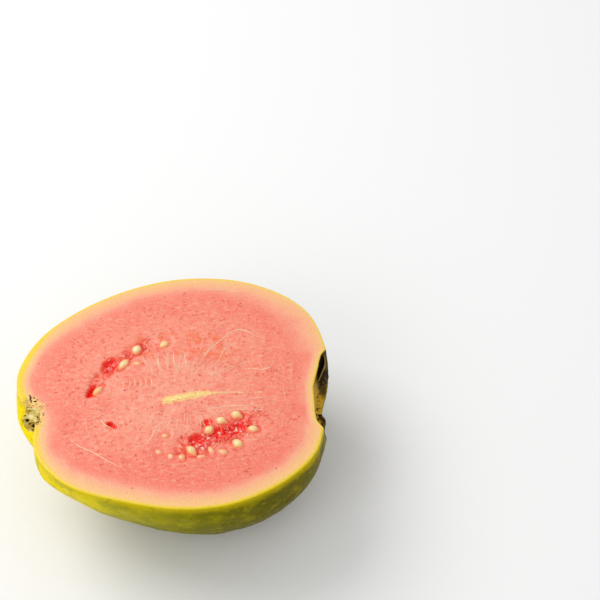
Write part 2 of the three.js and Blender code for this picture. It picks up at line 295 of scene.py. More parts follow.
def face_kinds(plan, gap):
    points = np.column_stack([plan, np.zeros(len(plan))])
    soft = fractal(points, 4.0, 3, 14.0)
    fine = fractal(points, 0.9, 3, 23.0)
    jelly = (1 - smoothstep(strip_distance(plan, PLACENTA), 2.5, 8)) * np.clip(0.4 + 2.2 * soft, 0, 1)
    jelly = jelly * np.interp(plan[:, 0], [10, 26], [1, 0.3])
    for at in JELLY_CELLS:
        jelly = np.maximum(jelly, 0.9 * (1 - smoothstep(ellipse_reach(plan, at, (0.7, 1.5), 0), 0.5, 1.2)))
    pocket = 1 - smoothstep(ellipse_reach(plan, *ORANGE_POCKET) + 0.35 * fine, 0.6, 1.1)
    jelly = np.maximum(jelly, pocket)
    core_gap = strip_distance(plan, CORE_ROUTE) + 0.75 * fine + 0.4 * soft
    width = np.interp(plan[:, 0], [-4.5, -3.4, -1, 6, 12, 28], [0.1, 1.4, 1.9, 1.4, 0.7, 0.25])
    core = 1 - smoothstep(core_gap, 0.2 * width, 1.25 * width)
    core = core * np.interp(plan[:, 0], [7, 12, 20], [1, 0.5, 0])
    scar = 1 - smoothstep(ellipse_reach(plan, *STALK_SCAR) + 0.3 * fine, 0.72, 1.12)
    slit_shade = np.zeros(len(plan))
    for at, half, turn in STALK_SLITS:
        slit_shade = np.maximum(slit_shade, 1 - smoothstep(ellipse_reach(plan, at, half, turn) + 0.25 * fine, 0.6, 1.1))
    bark = 1 - smoothstep(ellipse_reach(plan, *STALK_BARK) + 0.3 * fine, 0.6, 1.1)
    middle = bump(np.hypot((plan[:, 0] - 2) / 1.5, plan[:, 1] - 1), 13)
    near_side = smoothstep(gap, 4, 8) * smoothstep(-plan[:, 1], 12, 24)
    return {"jelly": jelly, "core": core, "scar": scar, "bark": bark, "slit_shade": slit_shade, "middle": middle,
            "near_side": near_side}


core_kinds = face_kinds(np.array([CORE_ROUTE[2]]), np.array([40.0]))
print("kinds at the core:", {name: float(value[0].round(2)) for name, value in core_kinds.items()})

# %% [markdown]
# The fruit itself is one closed mesh: rings of skin below the cut, rings of flesh across it, a soft edge
# between them and a small flat spot underneath, where a ripe fruit is pressed flat by its own weight.
# The points round the edge are closer together at the stalk and the calyx, where the shape turns fast.

# %% Rings of skin
ROUND_STEPS = 560
SKIN_RINGS = 62
EDGE_DROP = 0.35
SKIN_RIPPLE = 0.28


def even_turns(count):
    """Turns round the edge at even steps, closer together at the two ends of the fruit."""
    fine = np.linspace(0, 1, 4097)
    place = skin_points(fine, np.zeros_like(fine))
    step = np.linalg.norm(np.diff(place, axis=0), axis=1)
    step = step * (1 + 1.6 * smoothstep(np.abs(place[1:, 0]), 34, 42))
    run = np.concatenate([[0], np.cumsum(step)]) / step.sum()
    return np.interp(np.arange(count) / count, run, fine)


turns = even_turns(ROUND_STEPS)
edge = skin_points(turns, np.zeros(ROUND_STEPS))[:, :2]
first_down = math.asin(EDGE_DROP / DEPTH) / (math.pi / 2)
last_down = math.asin(1 - REST_FLAT_DEPTH / DEPTH) / (math.pi / 2)
downs = first_down + (last_down - first_down) * np.linspace(0, 1, SKIN_RINGS) ** 1.25
turn_grid, down_grid = np.meshgrid(turns, downs)
skin = skin_points(turn_grid, down_grid)
outward = skin / np.linalg.norm(skin, axis=-1, keepdims=True)
skin_flat = skin.reshape(-1, 3)
ripple = SKIN_RIPPLE * fractal(skin_flat, 9.0, 2, 5.0) + 0.1 * fractal(skin_flat, 2.6, 2, 7.0)
fade = smoothstep(-skin[..., 2], 0, 3) * smoothstep(DEPTH + skin[..., 2], 0.4, 3)
skin = skin + (ripple.reshape(down_grid.shape) * fade)[..., None] * outward
skin[-1, :, 2] = REST_FLAT_DEPTH - DEPTH
skin_low, skin_high = skin.reshape(-1, 3).min(0), skin.reshape(-1, 3).max(0)
print("skin points", len(skin_flat), "span", skin_low.round(2), "to", skin_high.round(2))

# %% [markdown]
# The rings of flesh are the cut edge itself, drawn in step by step towards the middle. The first two lie
# close to the skin and a little lower, so the cut has the soft edge that catches a line of light.

# %% Rings of flesh
FACE_RINGS = 96
EDGE_INSETS = [(0.08, 0.12), (0.22, 0.04)]
FIRST_INSET = 0.5
radius = np.linalg.norm(edge, axis=1)
fractions = [1 - inset / radius for inset, _ in EDGE_INSETS]
for ring in range(FACE_RINGS):
    fractions.append((1 - FIRST_INSET / radius) * (1 - ring / FACE_RINGS))
face = np.stack([edge * f[:, None] for f in fractions])
plan = face.reshape(-1, 2)


def gap_to_edge(points):
    parts = np.array_split(np.asarray(points, float), 1 + len(points) // 1000)
    return np.concatenate([np.sqrt(((p[:, None] - edge[None]) ** 2).sum(-1)).min(1) for p in parts])


height, red = face_relief(plan)
edge_gap = gap_to_edge(plan)
kinds = face_kinds(plan, edge_gap)
height = height * np.maximum(smoothstep(edge_gap, 0.5, 6), stub_foot(plan))
face_z = height.reshape(face.shape[:2])
for ring, (_, drop) in enumerate(EDGE_INSETS):
    face_z[ring] = -drop
print("flesh points", len(plan), "height from", face_z.min().round(2), "to", face_z.max().round(2))

# %% [markdown]
# The mesh is placed once, by matching its box in plan to the solid's and its flat spot to the surface it
# rests on. Every other piece uses the same shift, so nothing is fitted by eye.

# %% Place points and make objects
solid_low, solid_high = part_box("fruit_half")
SHIFT = np.array([
    (solid_low.x + solid_high.x) / MM / 2 - (skin_low[0] + skin_high[0]) / 2,
    (solid_low.y + solid_high.y) / MM / 2 - (skin_low[1] + skin_high[1]) / 2,
    DEPTH - REST_FLAT_DEPTH])


def new_object(name, points, edges=(), faces=()):
    """An object from points in millimetres, at its place in the model."""
    mesh = bpy.data.meshes.new(name)
    mesh.from_pydata(((np.asarray(points) + SHIFT) * MM).tolist(), list(edges), list(faces))
    mesh.update()
    made = bpy.data.objects.new(name, mesh)
    bpy.context.collection.objects.link(made)
    return made


def put_attribute(made, name, values, kind="FLOAT"):
    layer = made.data.attributes.new(name, kind, "POINT")
    field = "vector" if kind == "FLOAT_VECTOR" else "value"
    layer.data.foreach_set(field, np.asarray(values, float).ravel())


def ring_faces(upper, lower, count):
    step = np.arange(count)
    after = (step + 1) % count
    return np.column_stack([upper + step, lower + step, lower + after, upper + after]).tolist()


print("shift in mm", SHIFT.round(3))

# %% [markdown]
# The rings are joined into faces, with one middle point below and one above. The skin and the flesh are
# two materials of the same mesh, so there is no seam where they meet.

# %% Join the fruit
skin_count = SKIN_RINGS * ROUND_STEPS
face_count = len(fractions) * ROUND_STEPS
fruit_points = np.concatenate([
    skin.reshape(-1, 3), np.column_stack([plan, face_z.ravel()]),
    [[KEEL_SHIFT, 0, REST_FLAT_DEPTH - DEPTH], [0, 0, face_z[-1].mean()]]])
under, centre = skin_count + face_count, skin_count + face_count + 1
fruit_faces = []
for ring in range(SKIN_RINGS - 1):
    fruit_faces += ring_faces(ring * ROUND_STEPS, (ring + 1) * ROUND_STEPS, ROUND_STEPS)
skin_faces = len(fruit_faces) + ROUND_STEPS
for step in range(ROUND_STEPS):
    last = (SKIN_RINGS - 1) * ROUND_STEPS
    fruit_faces.append((last + step, under, last + (step + 1) % ROUND_STEPS))
fruit_faces += ring_faces(skin_count, 0, ROUND_STEPS)
for ring in range(len(fractions) - 1):
    outer = skin_count + ring * ROUND_STEPS
    fruit_faces += ring_faces(outer + ROUND_STEPS, outer, ROUND_STEPS)
for step in range(ROUND_STEPS):
    last = skin_count + (len(fractions) - 1) * ROUND_STEPS
    fruit_faces.append((centre, last + step, last + (step + 1) % ROUND_STEPS))
fruit = new_object("guava_fruit", fruit_points, faces=fruit_faces)
fruit.data.polygons.foreach_set("material_index", [0] * skin_faces + [1] * (len(fruit_faces) - skin_faces))
fruit.data.shade_smooth()
print("fruit triangles", 2 * len(fruit_faces) - 2 * ROUND_STEPS)

# %% [markdown]
# The material needs to know, at every point of the flesh, how far it is from the skin. That is the gap
# to the edge, but the rind isn't the same all round: its yellow line is wide at the stalk, it is thin at
# the crater, and it is pale and wide at the far corner beside it. Each of those places has its own rule,
# a list of gaps and a list of the depths that they count as, and the rules are blended where they meet.

# %% How thick the rind is
stalk_rind = np.interp(edge_gap, [0, 1.9, 2.5, 4.6, 9, 60], [0, 0.45, 1.5, 6.2, 10, 61])
crater_rind = np.interp(edge_gap, [0, 0.5, 1.1, 3.0, 9, 60], [0.35, 0.6, 1.7, 6.2, 10, 61])
upper_rind = np.interp(edge_gap, [0, 0.5, 1.4, 4, 9, 14, 60], [0.1, 0.7, 2.8, 4.2, 6.2, 10, 61])
at_stalk = 1 - smoothstep(plan[:, 0], -42, -31)
at_crater = smoothstep(plan[:, 0], 28, 34) * (1 - smoothstep(np.abs(plan[:, 1] - 0.5), 11, 16))
at_upper = bump(np.hypot(plan[:, 0] - 40, plan[:, 1] - 24), 22)
from_skin = edge_gap * (1 - at_upper) + upper_rind * at_upper
from_skin = from_skin * (1 - at_crater) + crater_rind * at_crater
from_skin = from_skin * (1 - at_stalk) + stalk_rind * at_stalk
print("depth counted, from", from_skin.min().round(2), "to", from_skin.max().round(2), "mm")

# %% [markdown]
# The numbers that the two materials read are stored at the points of the mesh. The numbers of the flesh
# are zero on the skin, and those of the crater are zero on the flesh.

# %% Numbers at each point
def fruit_numbers(face_values):
    return np.concatenate([np.zeros(skin_count), face_values, [0, face_values[-1]]])


crater_reach = np.hypot(fruit_points[:, 1] - CRATER["y"], fruit_points[:, 2])
crater = (1 - smoothstep(crater_reach, 13.8, 15.2)) * smoothstep(fruit_points[:, 0], 38, 40)
crater[skin_count:under] = 0
put_attribute(fruit, "from_skin", fruit_numbers(from_skin))
put_attribute(fruit, "red", fruit_numbers(red))
put_attribute(fruit, "crater", crater)
put_attribute(fruit, "crater_far_shade", crater * smoothstep(fruit_points[:, 1], 4.5, 8))
put_attribute(fruit, "below_cut", np.clip(-fruit_points[:, 2], 0, None))
put_attribute(fruit, "along", fruit_points[:, 0])
for name, values in kinds.items():
    put_attribute(fruit, name, fruit_numbers(values))
print("numbers stored:", sorted(kinds))

# %% [markdown]
# Every finish here is a base colour with marks laid over it, one after another, as a painter glazes. A
# mark is a pattern, the two values of the pattern between which the mark comes in, its strength and its
# colour. Noise gives the patterns, at the real size of each mark in millimetres.

# %% Laying marks over a colour
def per_mm(size):
    """The scale of a noise pattern whose features are size millimetres across."""
    return 1 / (size * MM)


def lay(tree, base, marks):
    for pattern, low, high, strength, code in marks:
        share = add(tree, "ShaderNodeMapRange", {0: pattern, 1: low, 2: high, 4: strength},
                    interpolation_type="SMOOTHSTEP").outputs[0]
        base = add(tree, "ShaderNodeMix", {0: share, 6: base, 7: colour(code)}, data_type="RGBA").outputs[2]
    return base


def new_material(name, roughness=0.5, gloss=0.5):
    made = bpy.data.materials.new(name)
    made.use_nodes = True
    shader = made.node_tree.nodes["Principled BSDF"]
    shader.inputs["Roughness"].default_value = roughness
    shader.inputs["Specular IOR Level"].default_value = gloss
    return made, made.node_tree, shader


def soften(shader, weight, depth, spread=(1.0, 0.35, 0.2)):
    """Lets light sink in and spread under the surface, red the farthest, as in anything full of juice."""
    shader.inputs["Subsurface Weight"].default_value = weight
    shader.inputs["Subsurface Radius"].default_value = spread
    shader.inputs["Subsurface Scale"].default_value = depth * MM


print("a mark of 5 mm needs scale", per_mm(5))

# %% [markdown]
# Guava skin is thin and waxy, and ripens unevenly: lemon yellow at the stalk end and along the cut,
# olive towards the calyx and underneath, with soft blotches, freckles and a few brown scuffs. A colour
# ramp along the fruit gives the ripening, and the marks follow. Part of the olive is painted shade: the
# ramp darkens towards the calyx end, which lies away from the light, and the skin low down is painted
# darker. The gloss stays low, because a strong one would lay a grey veil over the olive.

# %% Ripening and painted shade along the skin
# Ramp colours, darker towards the calyx end: partly ripening and partly painted shade.
RIPENING_AND_SHADE = [("#FFE600", -46), ("#F8DE00", -36), ("#E0CE00", -27), ("#9C9500", -9), ("#767100", 9),
            ("#625A00", 26), ("#716200", 42)]
RIPE_LENGTH = 96
skin_material, tree, shader = new_material("guava_skin_waxy", 0.38, 0.02)
shader.inputs["Specular Tint"].default_value = colour("#C8B400")
place = add(tree, "ShaderNodeTexCoord").outputs["Object"]
along = add(tree, "ShaderNodeAttribute", attribute_name="along").outputs["Fac"]
broad = add(tree, "ShaderNodeTexNoise", {"Vector": place, "Scale": per_mm(14), "Detail": 3.0}).outputs[0]
along = add(tree, "ShaderNodeMath", {0: broad, 1: 16.0, 2: along}, operation="MULTIPLY_ADD").outputs[0]
share = add(tree, "ShaderNodeMapRange", {0: along, 1: 8 - RIPE_LENGTH / 2, 2: 8 + RIPE_LENGTH / 2}).outputs[0]
ripe_and_shade = add(tree, "ShaderNodeValToRGB", {0: share})
ripe_and_shade.color_ramp.elements[0].color = colour(RIPENING_AND_SHADE[0][0])
ripe_and_shade.color_ramp.elements[1].color = colour(RIPENING_AND_SHADE[-1][0])
for code, x in RIPENING_AND_SHADE[1:-1]:
    ripe_and_shade.color_ramp.elements.new(x / RIPE_LENGTH + 0.5).color = colour(code)
print("ripening stops", len(ripe_and_shade.color_ramp.elements))

# %% [markdown]
# The crater was the flower's floor, and stays brown and corky. It is the same skin, so it takes its
# colour from the same material by a number at each point. A second number paints its far side almost
# black: painted shade behind the wide lobe.

# %% Blotches, freckles, painted light and shade by height, and the corky crater
below = add(tree, "ShaderNodeAttribute", attribute_name="below_cut").outputs["Fac"]
crater_share = add(tree, "ShaderNodeAttribute", attribute_name="crater").outputs["Fac"]
crater_far_shade = add(tree, "ShaderNodeAttribute", attribute_name="crater_far_shade").outputs["Fac"]
patch = add(tree, "ShaderNodeTexNoise", {"Vector": place, "Scale": per_mm(5.5), "Detail": 4.0}).outputs[0]
fleck = add(tree, "ShaderNodeTexNoise", {"Vector": place, "Scale": per_mm(1.3), "Detail": 3.0}).outputs[0]
pore = add(tree, "ShaderNodeTexNoise", {"Vector": place, "Scale": per_mm(0.5), "Detail": 2.0}).outputs[0]
scuff = add(tree, "ShaderNodeTexNoise", {"Vector": place, "Scale": per_mm(7), "Detail": 6.0}).outputs[0]
# By depth below the cut, the skin is painted darker low down as shade and lighter towards the cut, partly the
# real yellow line and partly painted light.
tint = lay(tree, ripe_and_shade.outputs[0], [
    (patch, 0.46, 0.66, 0.35, "#5C6600"), (patch, 0.48, 0.32, 0.22, "#D8C800"),
    (below, 7.0, 26.0, 0.5, "#5E5800"), (below, 4.5, 0.3, 0.7, "#DCC000"),
    (below, 1.2, 0.1, 0.6, "#F0DC08"),
    (fleck, 0.58, 0.70, 0.3, "#4E4C00"), (fleck, 0.42, 0.30, 0.2, "#E8DA10"),
    (scuff, 0.655, 0.70, 0.7, "#5B3E10")])
# The last cork mark is painted shade: the far side, behind the wide lobe, is painted almost black.
cork = lay(tree, colour("#D8A828"), [
    (fleck, 0.44, 0.64, 0.6, "#A47A1C"), (scuff, 0.5, 0.62, 0.5, "#B8961C"), (pore, 0.6, 0.7, 0.5, "#6B4C10"),
    (crater_far_shade, 0.1, 0.9, 0.9, "#38280C")])
tint = add(tree, "ShaderNodeMix", {0: crater_share, 6: tint, 7: cork}, data_type="RGBA").outputs[2]
relief = add(tree, "ShaderNodeMath", {0: pore, 1: fleck}, operation="ADD").outputs[0]
bumps = add(tree, "ShaderNodeBump", {"Height": relief, "Strength": 0.5, "Distance": 0.12 * MM}).outputs[0]
tree.links.new(tint, shader.inputs["Base Color"])
tree.links.new(bumps, shader.inputs["Normal"])
print("skin nodes", len(tree.nodes))

# %% [markdown]
# The flesh is moist and grainy, because guava is full of tiny stone cells. From the skin inwards it goes
# through a bright yellow line and a pale peach rind to salmon pink, deepest just inside the rind. The
# ramp is read in millimetres from the skin, with a little noise to let the rind wander.

# %% From rind to middle
RIND = [("#F8DC12", 0.0), ("#F8D63A", 0.4), ("#FDCC84", 1.0), ("#FDC088", 2.8), ("#FFB48C", 4.2),
        ("#FE9C82", 5.6), ("#FD8C74", 7.2), ("#FD8C74", 12.0), ("#FE947B", 17.0), ("#FF9A80", 24.0)]
RIND_LENGTH = 24.0
flesh_material, tree, shader = new_material("guava_flesh_moist", 0.4, 0.35)
place = add(tree, "ShaderNodeTexCoord").outputs["Object"]
depth_in = add(tree, "ShaderNodeAttribute", attribute_name="from_skin").outputs["Fac"]
soft = add(tree, "ShaderNodeTexNoise", {"Vector": place, "Scale": per_mm(6), "Detail": 3.0}).outputs[0]
wander = add(tree, "ShaderNodeMath", {0: soft, 1: 0.5}, operation="SUBTRACT").outputs[0]
wander = add(tree, "ShaderNodeMath", {0: wander, 1: depth_in}, operation="MULTIPLY").outputs[0]
wander = add(tree, "ShaderNodeMath", {0: wander, 1: 0.7, 2: depth_in}, operation="MULTIPLY_ADD").outputs[0]
share = add(tree, "ShaderNodeMath", {0: wander, 1: RIND_LENGTH}, operation="DIVIDE").outputs[0]
rind = add(tree, "ShaderNodeValToRGB", {0: share})
rind.color_ramp.elements[0].color = colour(RIND[0][0])
rind.color_ramp.elements[1].color = colour(RIND[-1][0])
for code, inset in RIND[1:-1]:
    rind.color_ramp.elements.new(inset / RIND_LENGTH).color = colour(code)
print("rind stops", len(rind.color_ramp.elements))

# %% [markdown]
# Juice cells and veins leave fine streaks that run from stalk to calyx, so one pattern is stretched along
# the fruit. Over them come the stone cells, pale, and the cut ends of veins, darker.

# %% Grain, streaks and wet pulp
along = add(tree, "ShaderNodeVectorMath", {0: place, 1: (0.5, 1.0, 1.0)}, operation="MULTIPLY").outputs[0]
streak = add(tree, "ShaderNodeTexNoise", {"Vector": along, "Scale": per_mm(0.9), "Detail": 4.0}).outputs[0]
juicy = add(tree, "ShaderNodeMapRange", {0: depth_in, 1: 4.0, 2: 9.0}).outputs[0]
streak = add(tree, "ShaderNodeMix", {0: juicy, 2: 0.49, 3: streak}, data_type="FLOAT").outputs[0]
grain = add(tree, "ShaderNodeTexNoise", {"Vector": place, "Scale": per_mm(0.6), "Detail": 2.0}).outputs[0]
cells = add(tree, "ShaderNodeTexNoise", {"Vector": place, "Scale": per_mm(1.3), "Detail": 4.0}).outputs[0]
pits = add(tree, "ShaderNodeMix", {0: juicy, 2: 0.5, 3: cells}, data_type="FLOAT").outputs[0]
blush = add(tree, "ShaderNodeMix", {0: juicy, 2: 0.46, 3: soft}, data_type="FLOAT").outputs[0]
number = {name: add(tree, "ShaderNodeAttribute", attribute_name=name).outputs["Fac"]
          for name in ("red", "jelly", "core", "scar", "bark", "slit_shade", "middle", "near_side")}
flesh = lay(tree, rind.outputs[0], [
    (number["middle"], 0.1, 0.9, 0.34, "#FFB095"), (blush, 0.46, 0.66, 0.55, "#FA7C68"),
    (number["near_side"], 0.0, 1.0, 0.5, "#FA7A64"), (number["jelly"], 0.05, 1.0, 0.8, "#FA7850"),
    (streak, 0.52, 0.68, 0.45, "#EE6452"), (streak, 0.46, 0.32, 0.45, "#FFC0A4"),
    (grain, 0.54, 0.72, 0.4, "#FFC8AE"), (grain, 0.44, 0.28, 0.35, "#F0705C"),
    (pits, 0.60, 0.68, 0.6, "#E2503E"), (number["core"], 0.0, 0.9, 0.9, "#FFDA86")])
knots = lay(tree, colour("#FFD683"), [
    (number["bark"], 0.1, 0.8, 0.8, "#BFA528"), (cells, 0.44, 0.56, 0.7, "#F4B96C"),
    (grain, 0.5, 0.62, 0.8, "#C08A34"), (cells, 0.56, 0.64, 0.9, "#6B4416")])
flesh = add(tree, "ShaderNodeMix", {0: number["scar"], 6: flesh, 7: knots}, data_type="RGBA").outputs[2]
# The first mark paints the slits near black: painted shade inside the cracks.
flesh = lay(tree, flesh, [
    (number["slit_shade"], 0.2, 0.8, 1.0, "#3A1802"), (number["red"], 0.08, 0.55, 1.0, "#F65A44"),
    (number["red"], 0.6, 1.0, 1.0, "#FF2412")])
wet = add(tree, "ShaderNodeMapRange", {0: number["red"], 1: 0.1, 2: 0.6, 3: 0.4, 4: 0.12}).outputs[0]
relief = add(tree, "ShaderNodeMath", {0: grain, 1: cells}, operation="ADD").outputs[0]
relief = add(tree, "ShaderNodeMath", {0: relief, 1: streak}, operation="ADD").outputs[0]
bumps = add(tree, "ShaderNodeBump", {"Height": relief, "Strength": 0.5, "Distance": 0.14 * MM}).outputs[0]
# No gloss in the slits, so their painted shade stays dark.
moist = add(tree, "ShaderNodeMapRange", {0: number["slit_shade"], 3: 0.35, 4: 0.0}).outputs[0]
surface = {"Base Color": flesh, "Roughness": wet, "Specular IOR Level": moist, "Normal": bumps}
for socket, value in surface.items():
    tree.links.new(value, shader.inputs[socket])
soften(shader, 0.12, 1.2)
fruit.data.materials.append(skin_material)
fruit.data.materials.append(flesh_material)
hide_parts("fruit_half")
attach(fruit, "root")
print("flesh nodes", len(tree.nodes))

# %% [markdown]
# The next pieces repeat, so geometry nodes make them. Each tree starts with named inputs for its sizes,
# ends by turning its copies into real mesh with a material, and is run once. The result is kept as a
# plain mesh and the tree's own object is removed, so nothing is left for later to change.

# %% Starting, ending and running a tree
def start_tree(name, sizes):
    tree = bpy.data.node_groups.new(name, "GeometryNodeTree")
    tree.interface.new_socket("Geometry", in_out="INPUT", socket_type="NodeSocketGeometry")
    tree.interface.new_socket("Geometry", in_out="OUTPUT", socket_type="NodeSocketGeometry")
    for label in sizes:
        tree.interface.new_socket(label, in_out="INPUT", socket_type="NodeSocketFloat")
    return tree, tree.nodes.new("NodeGroupInput").outputs


def end_tree(tree, geometry, material):
    solid = add(tree, "GeometryNodeRealizeInstances", {0: geometry}).outputs[0]
    smooth = add(tree, "GeometryNodeSetShadeSmooth", {0: solid}).outputs[0]
    dressed = add(tree, "GeometryNodeSetMaterial", {0: smooth, "Material": material}).outputs[0]
    add(tree, "NodeGroupOutput", {0: dressed})


def run_tree(name, source, tree, sizes):
    modifier = source.modifiers.new(tree.name, "NODES")
    modifier.node_group = tree
    for item in tree.interface.items_tree:
        if item.in_out == "INPUT" and item.name in sizes:
            modifier[item.identifier] = sizes[item.name]
    graph = bpy.context.evaluated_depsgraph_get()
    ready = source.evaluated_get(graph)
    mesh = bpy.data.meshes.new_from_object(ready, preserve_all_data_layers=True, depsgraph=graph)
    made = bpy.data.objects.new(name, mesh)
    bpy.context.collection.objects.link(made)
    bpy.data.objects.remove(source)
    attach(made, "root")
    mesh.calc_loop_triangles()
    print(name, "triangles", len(mesh.loop_triangles))
    return made


def roughen(tree, geometry, size, amount):
    """Moves every point along its normal by smooth noise."""
    where = add(tree, "GeometryNodeInputPosition").outputs[0]
    push = add(tree, "ShaderNodeTexNoise", {"Vector": where, "Scale": per_mm(size), "Detail": 2.0}).outputs[0]
    push = add(tree, "ShaderNodeMath", {0: push, 1: 0.5}, operation="SUBTRACT").outputs[0]
    push = add(tree, "ShaderNodeMath", {0: push, 1: amount}, operation="MULTIPLY").outputs[0]
    normal = add(tree, "GeometryNodeInputNormal").outputs[0]
    offset = add(tree, "ShaderNodeVectorMath", {0: normal, "Scale": push}, operation="SCALE").outputs[0]
    return add(tree, "GeometryNodeSetPosition", {0: geometry, "Offset": offset}).outputs[0]


print("geometry trees are ready to be made")

# %% [markdown]
# Guava seeds are small bony teardrops, cream on top and orange where they sit in the wet flesh. The
# colour changes with height, so each seed looks sunk in: the orange low down is partly painted shade
# round the foot of each seed, and the pale top is partly painted light. A veil, the film of flesh that the
# knife left over some of them, tints them towards the flesh.

# %% Bony seeds: their finish
SEED_VEILS = [0, 0, 0.2, 0, 0.05, 0.25, 0.5, 0.5, 0.25, 0.05, 0.1, 0, 0.1, 0.1, 0, 0.2, 0.4, 0.5]
SEED_BASE, SEED_TOP = 0.05, 0.88
seed_material, tree, shader = new_material("guava_seed_bony", 0.25)
place = add(tree, "ShaderNodeTexCoord").outputs["Object"]
level = add(tree, "ShaderNodeSeparateXYZ", {0: place}).outputs[2]
low, high = ((DEPTH - REST_FLAT_DEPTH + z) * MM for z in (SEED_BASE, SEED_TOP))
stain = add(tree, "ShaderNodeTexNoise", {"Vector": place, "Scale": per_mm(1.4), "Detail": 2.0}).outputs[0]
veil = add(tree, "ShaderNodeAttribute", attribute_name="veil").outputs["Fac"]
# By height: orange low down, partly painted shade, and pale cream on top, partly painted light.
tint = lay(tree, colour("#FF8F5E"), [
    (level, low, high, 1.0, "#FFEAAC"), (stain, 0.48, 0.64, 0.5, "#FFCB78"),
    (veil, 0.0, 1.0, 1.0, "#FFBE9E")])
tree.links.new(tint, shader.inputs["Base Color"])
shader.inputs["Coat Weight"].default_value = 0.4
shader.inputs["Coat Roughness"].default_value = 0.1
print("seed nodes", len(tree.nodes))

# %% [markdown]
# One ball, narrowed towards its tip, is the model of every seed. The tree copies it to a point for each
# measured seed, and takes the copy's turn and half sizes from that point. The lumps come last, in the
# fruit's own space, so no two seeds are alike.

# %% Bony seeds: their shape
def drop_tree(name, material):
    tree, given = start_tree(name, ["Taper", "Lumpiness"])
    ball = add(tree, "GeometryNodeMeshUVSphere", {0: 26, 1: 16, 2: 1.0}).outputs[0]
    where = add(tree, "GeometryNodeInputPosition").outputs[0]
    tip = add(tree, "ShaderNodeSeparateXYZ", {0: where}).outputs[0]
    tip = add(tree, "ShaderNodeMapRange", {0: tip, 1: 0.0, 2: 1.0},
              interpolation_type="SMOOTHSTEP").outputs[0]
    narrow = add(tree, "ShaderNodeMath", {0: tip, 1: given["Taper"]}, operation="MULTIPLY").outputs[0]
    narrow = add(tree, "ShaderNodeMath", {0: 1.0, 1: narrow}, operation="SUBTRACT").outputs[0]
    narrow = add(tree, "ShaderNodeCombineXYZ", {0: 1.0, 1: narrow, 2: narrow}).outputs[0]
    drop = add(tree, "ShaderNodeVectorMath", {0: where, 1: narrow}, operation="MULTIPLY").outputs[0]
    drop = add(tree, "GeometryNodeSetPosition", {0: ball, "Position": drop}).outputs[0]
    turn = add(tree, "GeometryNodeInputNamedAttribute", {0: "turn"}, data_type="FLOAT").outputs[0]
    spin = add(tree, "ShaderNodeCombineXYZ", {2: turn}).outputs[0]
    spin = add(tree, "FunctionNodeEulerToRotation", {0: spin}).outputs[0]
    size = add(tree, "GeometryNodeInputNamedAttribute", {0: "half_size"}, data_type="FLOAT_VECTOR").outputs[0]
    copies = add(tree, "GeometryNodeInstanceOnPoints", {0: given[0], 2: drop, 5: spin, 6: size}).outputs[0]
    copies = add(tree, "GeometryNodeRealizeInstances", {0: copies}).outputs[0]
    end_tree(tree, roughen(tree, copies, 1.2, given["Lumpiness"]), material)
    return tree


seed_source = new_object("seed_places", [(*at, -SEED_SINK) for at, _, _, _ in SEEDS])
seed_halves = np.array([(length, width, width * SEED_THICKNESS) for _, length, width, _ in SEEDS]) / 2
put_attribute(seed_source, "turn", [math.radians(turn) for _, _, _, turn in SEEDS])
put_attribute(seed_source, "veil", SEED_VEILS)
put_attribute(seed_source, "half_size", seed_halves * MM, "FLOAT_VECTOR")
run_tree("guava_seeds", seed_source, drop_tree("seed_tree", seed_material),
         {"Taper": SEED_TAPER, "Lumpiness": 0.35 * MM})

# %% [markdown]
# Fine pale fibres run through the flesh: a fan above the core, short ones round the seed chambers and
# long ones that follow the skin. Each is a route of points on the cut face with a thickness and a fade.
# The measured ones are listed, and the many faint ones round them grow from a fixed random seed.

# %% Growing a route
draw = random.Random(7)


def face_height(points):
    points = np.asarray(points, float)
    return face_relief(points)[0] * smoothstep(gap_to_edge(points), 0.5, 6)


def grow_route(start, heading, length, bend, wander=0.25, steps=9):
    """A route from start that turns by bend degrees over its length, and wanders a little."""
    x, y = start
    route = [(x, y)]
    for step in range(steps):
        angle = math.radians(heading + bend * step / steps + draw.gauss(0, 1) * wander * 20)
        x += length / steps * math.cos(angle)
        y += length / steps * math.sin(angle)
        route.append((x, y))
    return route


def routes_object(name, routes, lift=0.0):
    """routes holds (points, thickness in mm, fade). Every route becomes a chain of edges."""
    points, edges, thickness, fades = [], [], [], []
    for route, thick, fade in routes:
        first = len(points)
        for step, ((x, y), z) in enumerate(zip(route, face_height(route))):
            points.append((x, y, z + lift))
            along = math.sin(math.pi * step / (len(route) - 1))
            thickness.append(max(0.25, max(0.0, along) ** 0.5) * thick * MM)
            fades.append(fade)
        edges += [(first + i, first + i + 1) for i in range(len(route) - 1)]
    made = new_object(name, points, edges=edges)
    put_attribute(made, "thick", thickness)
    put_attribute(made, "fade", fades)
    return made


print("a grown route ends at", [round(v, 2) for v in grow_route((0, 0), 90, 5, 20)[-1]])

# %% [markdown]
# The fibres that stand out are measured one by one: the wide arch over the fan, the strong hairs of the
# fan itself, two long lines beside the core and the lines that follow the skin.

